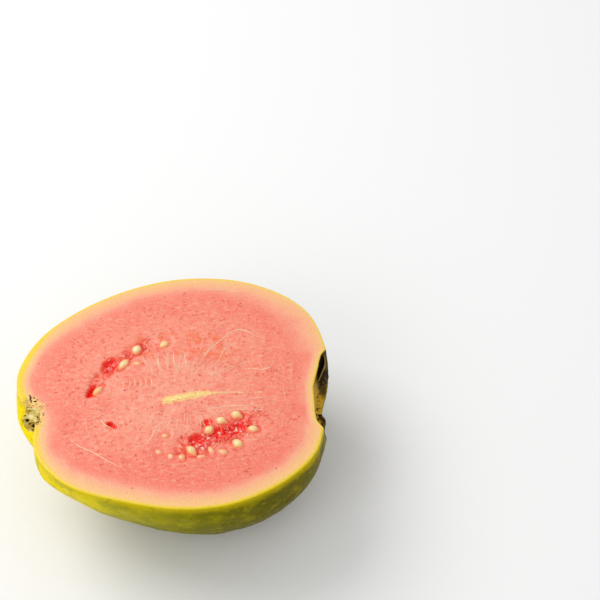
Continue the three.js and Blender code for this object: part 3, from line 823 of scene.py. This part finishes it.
# %% Measured fibres
fibre_routes = [
    ([(8.4, 17.3), (9.1, 20.4), (10.1, 23.3)], 0.12, 0.15),
    ([(8.6, 14.0), (11.5, 17.8), (15.6, 21.8), (19.5, 24.6), (23.2, 24.0), (26.7, 21.3)], 0.15, 0.0),
    ([(9.3, 13.9), (11, 17.8), (13.4, 21.1)], 0.11, 0.2),
    ([(13.6, 12.2), (15.2, 16.3), (17.7, 19.8)], 0.12, 0.2),
    ([(-3.9, 11.6), (-4.3, 15), (-4.2, 18.5)], 0.12, 0.0),
    ([(-1.9, 11.7), (-2.2, 14.5), (-2.2, 17.1)], 0.1, 0.3),
    ([(0.7, 11.5), (0.4, 15), (0.5, 18.1)], 0.13, 0.0), ([(4.3, 10.8), (3.9, 14), (3.6, 17.8)], 0.13, 0.0),
    ([(20.4, 9.6), (24.4, 9.3), (26.7, 8.8), (28.8, 9.4), (30.8, 12.0)], 0.14, 0.1),
    ([(11.2, 7.5), (12.1, 8.6), (13.5, 8.9)], 0.18, 0.0),
    ([(7.6, -4.6), (12, -4.2), (16.9, -3.9), (27.8, -4.5)], 0.13, 0.05),
    ([(10, -5.8), (17, -5.4), (25, -5.9), (30, -8)], 0.11, 0.25),
    ([(19, -2.2), (24, -1.4), (31, -3.2)], 0.11, 0.3),
    ([(-30.6, -11.2), (-27.5, -14.3), (-23.7, -16.7), (-19.8, -19.8), (-15.7, -22.7)], 0.15, 0.1),
    ([(9.1, 42.1), (17.4, 41.4), (26.5, 38.4)], 0.15, 0.2),
    ([(-22.2, -4.6), (-20.4, -7.2), (-17.5, -9.3)], 0.15, 0.1),
    ([(-2.9, -7.0), (-5.6, -10), (-7.4, -13.7), (-10.3, -16.2)], 0.14, 0.2)]
print("measured fibres", len(fibre_routes))

# %% [markdown]
# The faint fibres come in families: small arches beside the upper chamber, the fan above the core, tufts
# below it, short hairs all round the middle, and long arcs near the skin. Each family has its own count
# and its own rule for where a fibre starts and where it heads.

# %% Families of fibres
FAN_COUNT, TUFT_COUNT, HAIR_COUNT, ARC_COUNT = 34, 22, 120, 26
for x, y in JELLY_CELLS:
    top = (x + draw.uniform(-0.3, 0.3), y + draw.uniform(1.4, 2.2))
    arch = grow_route(top, 305, draw.uniform(3.4, 4.6), draw.uniform(-110, -70), 0.15)
    fibre_routes.append((arch, 0.12, 0.0))
for step in range(FAN_COUNT):
    share = step / (FAN_COUNT - 1)
    start = (-6 + 22 * share + draw.uniform(-1, 1), 10.5 - 2 * share + draw.uniform(-1.5, 1.5))
    heading = 105 - 75 * share + draw.uniform(-6, 6)
    fibre_routes.append((grow_route(start, heading, draw.uniform(3, 8.5), draw.uniform(-14, 6)), 0.1, 0.4))
for step in range(TUFT_COUNT):
    share = step / (TUFT_COUNT - 1)
    start = (-6 + 15 * share + draw.uniform(-1, 1), -6.5 + draw.uniform(-1.5, 1.5))
    heading = 230 + 60 * share
    fibre_routes.append((grow_route(start, heading, draw.uniform(3, 6), draw.uniform(-16, 16)), 0.1, 0.4))
for _ in range(HAIR_COUNT):
    angle, reach = draw.uniform(0, 360), draw.uniform(5, 19)
    start = (4 + 1.5 * reach * math.cos(math.radians(angle)), 1 + reach * math.sin(math.radians(angle)))
    heading = angle + draw.uniform(-30, 30)
    fibre_routes.append((grow_route(start, heading, draw.uniform(1, 4), draw.uniform(-50, 50)), 0.07, 0.45))
for _ in range(ARC_COUNT):
    angle, share = draw.uniform(0, 360), draw.uniform(0.55, 0.85)
    start = (4 + share * 40 * math.cos(math.radians(angle)), 3 + share * 34 * math.sin(math.radians(angle)))
    heading = angle + 90 + draw.uniform(-12, 12)
    fibre_routes.append((grow_route(start, heading, draw.uniform(4, 11), 20, 0.12), 0.1, 0.5))
print("fibre routes", len(fibre_routes))

# %% [markdown]
# The tree turns routes into curves, smooths them, and sweeps a small ring along them, as wide as the
# thickness at each point. The ends are drawn thin, so a fibre dies away in the flesh, and half of each
# lies below the surface.

# %% Sweep the fibres
def sweep_tree(name, material, ring_sides=6):
    tree, given = start_tree(name, ["Step", "Lumpiness"])
    line = add(tree, "GeometryNodeMeshToCurve", {0: given[0]}).outputs[0]
    line = add(tree, "GeometryNodeCurveSplineType", {0: line}, spline_type="CATMULL_ROM").outputs[0]
    line = add(tree, "GeometryNodeResampleCurve", {0: line, "Length": given["Step"]},
               mode="LENGTH").outputs[0]
    thick = add(tree, "GeometryNodeInputNamedAttribute", {0: "thick"}, data_type="FLOAT").outputs[0]
    ring = add(tree, "GeometryNodeCurvePrimitiveCircle", {0: ring_sides, "Radius": 1.0}).outputs[0]
    tube = add(tree, "GeometryNodeCurveToMesh", {0: line, 1: ring, "Scale": thick, "Fill Caps": True})
    end_tree(tree, roughen(tree, tube.outputs[0], 0.8, given["Lumpiness"]), material)
    return tree


fibre_material, tree, shader = new_material("guava_fibre_pale", 0.35, 0.4)
fade = add(tree, "ShaderNodeAttribute", attribute_name="fade").outputs["Fac"]
tint = lay(tree, colour("#FFDFC0"), [(fade, 0.0, 0.6, 1.0, "#FFBCA0")])
tree.links.new(tint, shader.inputs["Base Color"])
fibre_source = routes_object("fibre_routes", fibre_routes)
fibre_sizes = {"Step": 0.4 * MM, "Lumpiness": 0.03 * MM}
run_tree("guava_fibres", fibre_source, sweep_tree("fibre_tree", fibre_material), fibre_sizes)

# %% [markdown]
# The core is a single strand of the vessels that fed the flower, yellow and granular. It is thick where
# the knife met it and thins towards the calyx. It is swept as the fibres are, and then pressed almost
# flat against the cut face, because a knife leaves it level. The flesh beside it is stained yellow too.

# %% Core strand
CORE_THICKNESS = [0.2, 0.55, 0.85, 0.7, 0.5, 0.3, 0.2, 0.14, 0.1, 0.06]
CORE_FLATNESS = 0.14
CORE_LIFT = 0.02
core_material, tree, shader = new_material("guava_core_strand", 0.5, 0.3)
place = add(tree, "ShaderNodeTexCoord").outputs["Object"]
crumb = add(tree, "ShaderNodeTexNoise", {"Vector": place, "Scale": per_mm(0.7), "Detail": 3.0}).outputs[0]
along = add(tree, "ShaderNodeSeparateXYZ", {0: place}).outputs[0]
tint = lay(tree, colour("#FDE28A"), [
    (crumb, 0.48, 0.62, 0.8, "#FFC27C"), (crumb, 0.44, 0.34, 0.6, "#FFF2B4"),
    (along, 6 * MM, 14 * MM, 0.7, "#FFC9A0")])
tree.links.new(tint, shader.inputs["Base Color"])
core_points = [(x, y, z) for (x, y), z in zip(CORE_ROUTE, face_height(CORE_ROUTE))]
core_source = new_object("core_route", core_points, edges=[(i, i + 1) for i in range(len(CORE_ROUTE) - 1)])
put_attribute(core_source, "thick", np.array(CORE_THICKNESS) * MM)
core_sizes = {"Step": 0.3 * MM, "Lumpiness": 1.5 * MM}
core = run_tree("guava_core", core_source, sweep_tree("core_tree", core_material, 16), core_sizes)
core_local = np.array([vertex.co for vertex in core.data.vertices]) / MM - SHIFT
core_level = face_height(core_local[:, :2]) + CORE_LIFT
core_local[:, 2] = core_level + CORE_FLATNESS * (core_local[:, 2] - MIDDLE_RISE)
core.data.vertices.foreach_set("co", ((core_local + SHIFT) * MM).ravel())
core.data.update()
print("core strand spans", core_local.min(0).round(2), core_local.max(0).round(2))

# %% [markdown]
# In the open chambers the knife tore the thin walls of the pulp sacs. They lie as wet, glossy squiggles
# between the seeds, some still red with pulp and some pale, partly pale membrane and partly painted
# highlight for their wet glints, and they catch the light.

# %% Torn pulp
sac_material, tree, shader = new_material("guava_pulp_wet", 0.1)
fade = add(tree, "ShaderNodeAttribute", attribute_name="fade").outputs["Fac"]
# The pale colours are partly painted highlight, standing in for wet glints on the squiggles.
tint = lay(tree, colour("#E82410"), [(fade, 0.45, 0.7, 1.0, "#FF7A60"), (fade, 0.8, 0.95, 0.9, "#FFD8C8")])
tree.links.new(tint, shader.inputs["Base Color"])
shader.inputs["Coat Weight"].default_value = 1.0
shader.inputs["Coat Roughness"].default_value = 0.04


def place_near(route, width):
    """A random place at most width millimetres, along and across, from a route."""
    a, b = draw.choice(list(zip(route, route[1:])))
    share = draw.random()
    return [a[k] + share * (b[k] - a[k]) + draw.uniform(-width, width) for k in (0, 1)]


sac_routes = []
# The last number of a bed is its least share of pale, painted glint colour; the bed by the orange pocket is
# mostly pale.
PULP_BEDS = [(CHAMBERS[0][0][1:], 1.8, 26, 0.0), (CHAMBERS[1][0], 3.2, 48, 0.0),
             ([(22, -6.6), (26, -7.6)], 1.3, 26, 0.8)]
for route, width, count, least_painted_glint in PULP_BEDS:
    for _ in range(count):
        start = place_near(route, width)
        path = grow_route(start, draw.uniform(0, 360), draw.uniform(0.8, 2.2), draw.uniform(-260, 260), 1.2)
        sac_routes.append((path, draw.uniform(0.07, 0.19), max(least_painted_glint, draw.random())))
sac_source = routes_object("sac_routes", sac_routes, 0.1)
sac_sizes = {"Step": 0.25 * MM, "Lumpiness": 0.1 * MM}
run_tree("guava_torn_pulp", sac_source, sweep_tree("sac_tree", sac_material), sac_sizes)

# %% [markdown]
# Between the seeds lie the pulp sacs, small round beads swollen with red juice. They are the same drop
# as the seeds, smaller, and their gloss breaks the light into tiny glints.

# %% Pulp sacs
BEAD_BEDS = [([(-20.5, 12.5), (-18, 16)], 1.1, 14), ([(-14, 18), (-8, 21)], 0.9, 10),
             ([(5, -17), (10, -14.5), (15, -13), (20, -10.5)], 2.4, 90)]
bead_material, tree, shader = new_material("guava_pulp_sacs", 0.12)
fade = add(tree, "ShaderNodeAttribute", attribute_name="fade").outputs["Fac"]
tint = lay(tree, colour("#FA2A1A"), [(fade, 0.3, 0.7, 1.0, "#F66656"), (fade, 0.75, 0.95, 1.0, "#FFC0A8")])
tree.links.new(tint, shader.inputs["Base Color"])
shader.inputs["Coat Weight"].default_value = 1.0
shader.inputs["Coat Roughness"].default_value = 0.05
beads, bead_halves, bead_turns, bead_fades = [], [], [], []
for route, width, count in BEAD_BEDS:
    for _ in range(count):
        at = place_near(route, width)
        half = draw.uniform(0.3, 0.75)
        reaches = [ellipse_reach(np.array([at]), place, (long / 2, wide / 2), turn)[0]
                   for place, long, wide, turn in SEEDS]
        if min(reaches) > 1.25:
            beads.append((*at, face_height([at])[0] + 0.05))
            bead_halves.append((half, half * draw.uniform(0.6, 0.9), half * 0.55))
            bead_turns.append(draw.uniform(0, math.tau))
            bead_fades.append(draw.random())
bead_source = new_object("bead_places", beads)
put_attribute(bead_source, "turn", bead_turns)
put_attribute(bead_source, "fade", bead_fades)
put_attribute(bead_source, "half_size", np.array(bead_halves) * MM, "FLOAT_VECTOR")
run_tree("guava_pulp_sacs", bead_source, drop_tree("bead_tree", bead_material),
         {"Taper": 0.2, "Lumpiness": 0.3 * MM})

# %% [markdown]
# Stone cells make guava flesh gritty. The knife leaves them as a fine pale grit all over the cut face,
# and cuts across the ends of tiny veins, which show as darker dots. Both are scattered by one tree over
# a copy of the fruit's own mesh, thinner near the skin, and none in the wet chambers.

# %% Stone cells and vein ends
def grit_tree(name, material, seed):
    tree, given = start_tree(name, ["Density", "Smallest", "Largest", "Length", "Flatness"])
    depth_in = add(tree, "GeometryNodeInputNamedAttribute", {0: "from_skin"}, data_type="FLOAT").outputs[0]
    wet = add(tree, "GeometryNodeInputNamedAttribute", {0: "red"}, data_type="FLOAT").outputs[0]
    share = add(tree, "ShaderNodeMapRange", {0: depth_in, 1: 4.0, 2: 9.0}).outputs[0]
    dry = add(tree, "ShaderNodeMapRange", {0: wet, 1: 0.02, 2: 0.2, 3: 1.0, 4: 0.0}).outputs[0]
    share = add(tree, "ShaderNodeMath", {0: share, 1: dry}, operation="MULTIPLY").outputs[0]
    density = add(tree, "ShaderNodeMath", {0: share, 1: given["Density"]}, operation="MULTIPLY").outputs[0]
    spread = add(tree, "GeometryNodeDistributePointsOnFaces", {0: given[0], "Density": density, "Seed": seed})
    grain = add(tree, "GeometryNodeMeshIcoSphere", {0: 1.0, 1: 1}).outputs[0]
    size = add(tree, "FunctionNodeRandomValue", {2: given["Smallest"], 3: given["Largest"], 8: seed},
               data_type="FLOAT").outputs[1]
    long = add(tree, "ShaderNodeMath", {0: size, 1: given["Length"]}, operation="MULTIPLY").outputs[0]
    flat = add(tree, "ShaderNodeMath", {0: size, 1: given["Flatness"]}, operation="MULTIPLY").outputs[0]
    scale = add(tree, "ShaderNodeCombineXYZ", {0: long, 1: size, 2: flat}).outputs[0]
    copies = add(tree, "GeometryNodeInstanceOnPoints", {0: spread.outputs[0], 2: grain, 6: scale}).outputs[0]
    end_tree(tree, copies, material)
    return tree


def scatter_source(name):
    source = bpy.data.objects.new(name, fruit.data.copy())
    bpy.context.collection.objects.link(source)
    return source


grit_material, _, shader = new_material("guava_stone_cells", 0.35, 0.4)
shader.inputs["Base Color"].default_value = colour("#FFC6AE")
grit_sizes = {"Density": 0.8e6, "Smallest": 0.06 * MM, "Largest": 0.14 * MM, "Length": 1.1, "Flatness": 0.25}
grit = grit_tree("grit_tree", grit_material, 3)
run_tree("guava_stone_cells", scatter_source("grit_source"), grit, grit_sizes)
vein_material, _, shader = new_material("guava_vein_ends", 0.35, 0.4)
shader.inputs["Base Color"].default_value = colour("#F0705C")
vein_sizes = {"Density": 0.05e6, "Smallest": 0.09 * MM, "Largest": 0.30 * MM, "Length": 1.3, "Flatness": 0.1}
veins = grit_tree("vein_tree", vein_material, 11)
run_tree("guava_vein_ends", scatter_source("vein_source"), veins, vein_sizes)

# %% [markdown]
# The next pieces are closed bodies made of equal loops of points, as a potter builds a form from rings.
# One function joins the loops, closes the two ends and turns every face outwards.

# %% Joining loops into a body
def closed_loops(name, loops):
    count = len(loops[0])
    points = np.concatenate([*loops, [np.mean(loops[0], 0)], [np.mean(loops[-1], 0)]])
    faces = []
    for ring in range(len(loops) - 1):
        faces += ring_faces(ring * count, (ring + 1) * count, count)
    for step in range(count):
        after = (step + 1) % count
        last = (len(loops) - 1) * count
        faces.append((len(points) - 2, step, after))
        faces.append((len(points) - 1, last + after, last + step))
    made = new_object(name, points, faces=faces)
    bpy.context.view_layer.objects.active = made
    bpy.ops.object.mode_set(mode="EDIT")
    bpy.ops.mesh.select_all(action="SELECT")
    bpy.ops.mesh.normals_make_consistent(inside=False)
    bpy.ops.object.mode_set(mode="OBJECT")
    made.data.shade_smooth()
    return made


def dress(made, material, node):
    made.data.materials.append(material)
    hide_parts(node)
    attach(made, "root")
    print(made.name, "polygons", len(made.data.polygons))


# %% [markdown]
# The stub of the stalk is dry wood, cut in half with the fruit. It is a turned plug with a wavy bark,
# and its cut face is torn, with dark pits. Each loop is a half circle below and a torn line across.

# %% Stalk stub: its shape
STUB_PROFILE = np.array([
    (1.2, 0.2), (2.2, 0.4), (3.0, 0.9), (3.5, 1.6), (3.8, 2.6),
    (3.6, 3.4), (3.0, 4.0), (2.2, 4.4), (1.2, 4.6)])
STUB_INNER_X, STUB_Y = -39.3, -2.8
STUB_PITS = [((-41.1, -5.2), 0.8, 1.7), ((-43.0, -3.4), 0.7, 0.5), ((-40.1, -2.6), 0.35, 0.5)]
STUB_TOP, STUB_HIGHEST = 0.15, 0.4
STUB_LOOPS, LOOP_POINTS = 34, 41
loops = []
for place_in in np.linspace(0, len(STUB_PROFILE) - 1, STUB_LOOPS):
    size = np.interp(place_in, np.arange(len(STUB_PROFILE)), STUB_PROFILE[:, 0])
    x = STUB_INNER_X - np.interp(place_in, np.arange(len(STUB_PROFILE)), STUB_PROFILE[:, 1])
    lower = [(x, STUB_Y + size * math.cos(a), -size * math.sin(a))
             for a in np.linspace(0, math.pi, LOOP_POINTS)]
    upper = [(x, STUB_Y + size * side, 0.0) for side in np.linspace(-1, 1, LOOP_POINTS + 1)[1:-1]]
    loops.append(np.array(lower + upper))
shape = np.array(loops).shape
stub_points = np.array(loops).reshape(-1, 3)
outward = stub_points - (STUB_INNER_X - 2, STUB_Y, 0)
outward /= np.linalg.norm(outward, axis=1, keepdims=True)
top = smoothstep(stub_points[:, 2], -0.3, 0)
bark = 0.4 * fractal(stub_points * (0.5, 1, 1), 1.1, 3, 21) + 0.6 * fractal(stub_points, 2.2, 2, 4)
stub_points = stub_points + outward * bark[:, None]
pit = np.zeros(len(stub_points))
for at, width, depth in STUB_PITS:
    here = bump(np.hypot(stub_points[:, 0] - at[0], stub_points[:, 1] - at[1]), width)
    stub_points[:, 2] -= top * depth * here
    pit = np.maximum(pit, top * here)
splinters = fractal(stub_points * (0.45, 1, 1), 0.7, 3, 31)
stub_points[:, 2] = np.minimum(stub_points[:, 2] + top * (STUB_TOP + 0.3 * splinters), STUB_HIGHEST)
stub = closed_loops("stalk_stub", stub_points.reshape(shape))
put_attribute(stub, "pit", np.concatenate([pit, [0, 0]]))
print("stub spans", stub_points.min(0).round(2), stub_points.max(0).round(2))

# %% [markdown]
# Dry wood is beige, with darker olive and pale cream patches laid by noise that are partly painted shade
# and painted highlight for its knobbly relief, and nearly black in the pits, which is painted shade. The
# grain is bumped, because a dull surface shows its roughness only in small shadows.

# %% Stalk stub: its finish
wood_material, tree, shader = new_material("stalk_wood_dry", 0.8, 0.2)
place = add(tree, "ShaderNodeTexCoord").outputs["Object"]
pit_painted_shade = add(tree, "ShaderNodeAttribute", attribute_name="pit").outputs["Fac"]
along = add(tree, "ShaderNodeVectorMath", {0: place, 1: (0.4, 1.0, 1.0)}, operation="MULTIPLY").outputs[0]
fine = add(tree, "ShaderNodeTexNoise", {"Vector": along, "Scale": per_mm(0.7), "Detail": 4.0}).outputs[0]
patch = add(tree, "ShaderNodeTexNoise", {"Vector": place, "Scale": per_mm(2.0), "Detail": 3.0}).outputs[0]
# The olive and pale cream patches are partly painted shade and highlight; the pits are painted near black as
# shade.
tint = lay(tree, colour("#E8CE72"), [
    (patch, 0.46, 0.60, 0.8, "#B8942E"), (fine, 0.50, 0.62, 0.7, "#8A6A20"),
    (patch, 0.46, 0.36, 0.8, "#F4E8B4"), (fine, 0.59, 0.66, 0.9, "#3E2608"),
    (pit_painted_shade, 0.3, 0.7, 1.0, "#160D06")])
bumps = add(tree, "ShaderNodeBump", {"Height": fine, "Strength": 0.8, "Distance": 0.3 * MM}).outputs[0]
tree.links.new(tint, shader.inputs["Base Color"])
tree.links.new(bumps, shader.inputs["Normal"])
dress(stub, wood_material, "stem_stub")

# %% [markdown]
# The flower's calyx stays on the ripe fruit as dry, curled lobes. Each is a thin folded sheet that grows
# from the lip of the crater. Its fold is a curve from root to tip, its width narrows to the tip, and
# waves and a ragged edge are added before it gets its thickness.

# %% Dried calyx lobes: their finish
lobe_material, tree, shader = new_material("calyx_lobe_dry", 0.85, 0.06)
place = add(tree, "ShaderNodeTexCoord").outputs["Object"]
rim_highlight_share = add(tree, "ShaderNodeAttribute", attribute_name="rim").outputs["Fac"]
root_share = add(tree, "ShaderNodeAttribute", attribute_name="root").outputs["Fac"]
fine = add(tree, "ShaderNodeTexNoise", {"Vector": place, "Scale": per_mm(0.8), "Detail": 4.0}).outputs[0]
patch = add(tree, "ShaderNodeTexNoise", {"Vector": place, "Scale": per_mm(2.4), "Detail": 3.0}).outputs[0]
# The rim mark paints a lighter line along both edges of each lobe: a painted highlight.
tint = lay(tree, colour("#2A190A"), [
    (fine, 0.48, 0.66, 0.8, "#3E3012"), (patch, 0.52, 0.64, 0.7, "#6E5A20"),
    (fine, 0.42, 0.30, 0.6, "#080402"), (root_share, 0.8, 1.0, 0.7, "#7A6A20"),
    (rim_highlight_share, 0.92, 0.99, 0.5, "#9A8448")])
bumps = add(tree, "ShaderNodeBump", {"Height": fine, "Strength": 0.8, "Distance": 0.25 * MM}).outputs[0]
tree.links.new(tint, shader.inputs["Base Color"])
tree.links.new(bumps, shader.inputs["Normal"])
print("lobe nodes", len(tree.nodes))

# %% [markdown]
# The sheet of a lobe is a grid of points, bent in steps: the fold carries it out from the root and over,
# the crease waves it, and its sides curl back towards the tip.

# %% Dried calyx lobes: their sheets
LOBES = {
    "sepal_far": dict(turn=28, half_width=5.6, tip_half_width=0.7, wave=0.45, ragged=0.5,
                      fold=[(13.4, 43.2), (12.6, 46.0), (9.5, 46.6), (5.5, 45.7), (1.6, 44.3)]),
    "sepal_low": dict(turn=124, half_width=3.2, tip_half_width=1.4, wave=0.5, ragged=0.7,
                      fold=[(14.6, 42.4), (13.7, 43.6), (12.4, 44.2), (10.8, 44.1), (9.6, 43.4)])}
LOBE_THICKNESS = 0.55
LOBE_HIGHEST = 0.05
TIP_CURL = 0.9
LOBE_GRID = (36, 40)
SEPAL_RING = 13.3


def open_curve(knots, shares):
    """A smooth curve through the knots, read at shares from 0 to 1."""
    knots = np.array(knots, float)
    knots = np.vstack([2 * knots[0] - knots[1], knots, 2 * knots[-1] - knots[-2]])
    place = np.clip(shares, 0, 1) * (len(knots) - 3)
    index = np.minimum(np.floor(place).astype(int), len(knots) - 4)
    u = (place - index)[:, None]
    a, b, c, d = (knots[index + k] for k in range(4))
    return pass_through(a, b, c, d, u)


def lobe_sheet(turn, half_width, tip_half_width, wave, ragged, fold):
    columns, rows = LOBE_GRID
    angle = math.radians(turn)
    out = np.array([0, math.cos(angle), -math.sin(angle)])
    across = np.array([0, -math.sin(angle), -math.cos(angle)])
    line = open_curve(fold, np.linspace(0, 1, rows))
    sheet = []
    for row in range(rows):
        share = row / (rows - 1)
        width = half_width + (tip_half_width - half_width) * share ** 1.4
        for column in range(columns):
            side = 2 * column / (columns - 1) - 1
            tear = noise.noise(Vector((share * 7, math.copysign(2, side), turn))) * abs(side) ** 3
            reach = line[row, 0] - (1 - share) * (side * width) ** 2 / (2 * SEPAL_RING)
            crease = noise.noise(Vector((share * 2.5, side * 2.4, turn * 0.37)))
            crease = wave * crease * smoothstep(share, 0.1, 0.5)
            x = line[row, 1] + crease - TIP_CURL * share * side ** 2
            spot = np.array([x, CRATER["y"], 0]) + out * reach
            sheet.append(spot + across * side * width * (1 + 0.35 * ragged * tear))
    return np.array(sheet).reshape(rows, columns, 3)


print("a sheet has", lobe_sheet(**LOBES["sepal_low"]).shape[:2], "rows and columns")

# %% [markdown]
# A sheet gets its thickness from its own normals, half to each side. The two faces are then joined round
# the rim, so a lobe is a solid body like the others. The knife cut it level with the fruit, so no point
# of it stands more than a hair above the cut.

# %% Dried calyx lobes: their shape
for name, lobe in LOBES.items():
    sheet = lobe_sheet(**lobe)
    rows, columns, _ = sheet.shape
    normal = np.cross(np.gradient(sheet, axis=0), np.gradient(sheet, axis=1))
    normal /= np.linalg.norm(normal, axis=-1, keepdims=True) + 1e-9
    front, back = sheet + normal * LOBE_THICKNESS / 2, sheet - normal * LOBE_THICKNESS / 2
    loops = np.concatenate([front, back[:, ::-1]], axis=1)
    loops[..., 2] = np.minimum(loops[..., 2], LOBE_HIGHEST)
    made = closed_loops(name + "_dry", loops)
    rim = np.abs(2 * np.arange(columns) / (columns - 1) - 1)
    put_attribute(made, "rim", np.concatenate([np.tile(np.concatenate([rim, rim[::-1]]), rows), [0, 0]]))
    put_attribute(made, "root", np.concatenate([np.repeat(np.linspace(1, 0, rows), 2 * columns), [1, 0]]))
    dress(made, lobe_material, name)

# %% [markdown]
# Inside the crater stand the dried stumps of the flower's stamens, a row of short brown bristles. They
# are copies of one thin cone on an arc of points, each leaning its own way.

# %% Stamen stumps: their places
BRISTLE_COUNT = 30
BRISTLE_RING = (9.6, 11.6)
BRISTLE_ARC = (34, 146)
bristle_points, leans = [], []
for step in range(BRISTLE_COUNT):
    share = step / (BRISTLE_COUNT - 1)
    turned = BRISTLE_ARC[0] + (BRISTLE_ARC[1] - BRISTLE_ARC[0]) * share
    angle = math.radians(turned + draw.uniform(-2, 2))
    reach = draw.uniform(*BRISTLE_RING)
    y, z = CRATER["y"] + reach * math.cos(angle), -reach * math.sin(angle)
    side = y - CRATER["y"]
    floor_x = np.interp(reach, *CRATER_PROFILE.T) + CRATER["bend"] * np.clip(side, 0, CRATER["bend_reach"])
    bristle_points.append((floor_x + math.tan(CRATER["lean"]) * side - 0.1, y, z))
    leans.append((draw.uniform(-0.5, 0.5), math.pi / 2 + draw.uniform(-0.5, 0.5), draw.uniform(-0.6, 0.6)))
bristle_source = new_object("bristle_places", bristle_points)
put_attribute(bristle_source, "lean", leans, "FLOAT_VECTOR")
print("stumps", len(bristle_points))

# %% [markdown]
# The lean of each stump comes from its point, and its length from a random number with a fixed seed, so
# the row is the same every time the script is run.

# %% Stamen stumps: their shape
bristle_material, _, shader = new_material("stamen_stump_dry", 0.8, 0.2)
shader.inputs["Base Color"].default_value = colour("#6E4E20")
tree, given = start_tree("bristle_tree", ["Longest", "Thickness"])
cone = add(tree, "GeometryNodeMeshCone", {0: 6, 1: 3, 3: 0.25, 4: 1.0, 5: 1.0}).outputs[0]
lean = add(tree, "GeometryNodeInputNamedAttribute", {0: "lean"}, data_type="FLOAT_VECTOR").outputs[0]
spin = add(tree, "FunctionNodeEulerToRotation", {0: lean}).outputs[0]
length = add(tree, "FunctionNodeRandomValue", {2: 0.4, 3: 1.0, 8: 5}, data_type="FLOAT").outputs[1]
length = add(tree, "ShaderNodeMath", {0: length, 1: given["Longest"]}, operation="MULTIPLY").outputs[0]
thick = given["Thickness"]
scale = add(tree, "ShaderNodeCombineXYZ", {0: thick, 1: thick, 2: length}).outputs[0]
copies = add(tree, "GeometryNodeInstanceOnPoints", {0: given[0], 2: cone, 5: spin, 6: scale}).outputs[0]
end_tree(tree, copies, bristle_material)
bristle_sizes = {"Longest": 1.8 * MM, "Thickness": 0.13 * MM}
run_tree("guava_stamen_stumps", bristle_source, tree, bristle_sizes)

# %% [markdown]
# A camera with a long lens looks down on the cut face, as in the photograph. Its place and its two angles
# are written as numbers, so the view never depends on where a piece happens to be.

# %% Camera
CAMERA_PLACE = (14.6, -250.2, 339.0)
CAMERA_YAW, CAMERA_PITCH = 5.2, 49.8
camera_data = bpy.data.cameras.new("camera")
camera_data.lens = 85
camera_data.sensor_width = 36
camera_data.sensor_fit = "HORIZONTAL"
camera = bpy.data.objects.new("camera", camera_data)
bpy.context.collection.objects.link(camera)
yaw, pitch = math.radians(CAMERA_YAW), math.radians(CAMERA_PITCH)
look = Vector((math.sin(yaw) * math.cos(pitch), math.cos(yaw) * math.cos(pitch), -math.sin(pitch)))
camera.location = Vector((np.array(CAMERA_PLACE) + SHIFT) * MM)
camera.rotation_euler = look.to_track_quat("-Z", "Y").to_euler()
bpy.context.scene.camera = camera
print("camera at", [round(v, 3) for v in camera.location])

# %% [markdown]
# The floor is plain and pale. Soft light comes from a bright room, with a large panel behind and to the
# left, so the far edge shines and the skin under the near edge falls into shade.

# %% Floor
FLOOR_SIZE = 3.0
floor_mesh = bpy.data.meshes.new("floor")
half = FLOOR_SIZE / 2
corners = [(-half, -half, 0), (half, -half, 0), (half, half, 0), (-half, half, 0)]
floor_mesh.from_pydata(corners, [], [(0, 1, 2, 3)])
floor = bpy.data.objects.new("floor", floor_mesh)
bpy.context.collection.objects.link(floor)
floor_material, _, shader = new_material("floor_matte_white", 0.9, 0.1)
shader.inputs["Base Color"].default_value = colour("#FEFEFE")
floor_mesh.materials.append(floor_material)
print("floor", FLOOR_SIZE, "m wide")

# %% [markdown]
# A panel's light grows softer with its size and falls off with its distance. The two here are as far
# away as the lights of a small photo table.

# %% Lights
ROOM_BRIGHTNESS = 0.62
world = bpy.data.worlds.new("bright_room")
bpy.context.scene.world = world
world.use_nodes = True
world.node_tree.nodes["Background"].inputs[0].default_value = colour("#FFFFFF")
world.node_tree.nodes["Background"].inputs[1].default_value = ROOM_BRIGHTNESS


def add_panel(name, place, size, power):
    data = bpy.data.lights.new(name, "AREA")
    data.size = size
    data.energy = power
    panel = bpy.data.objects.new(name, data)
    bpy.context.collection.objects.link(panel)
    panel.location = Vector(place)
    panel.rotation_euler = (-Vector(place)).to_track_quat("-Z", "Y").to_euler()


add_panel("panel_back_left", (-0.45, 0.35, 0.75), 0.6, 3.8)
add_panel("panel_front_left", (-0.5, -0.5, 0.6), 0.5, 0.9)
bpy.context.scene.view_settings.view_transform = "Standard"
print("room", ROOM_BRIGHTNESS)

# %% [markdown]
# This last cell only marks the end of the script. The visual model has to stay inside the solid
# model's box.

# %% End
print("end of the script")
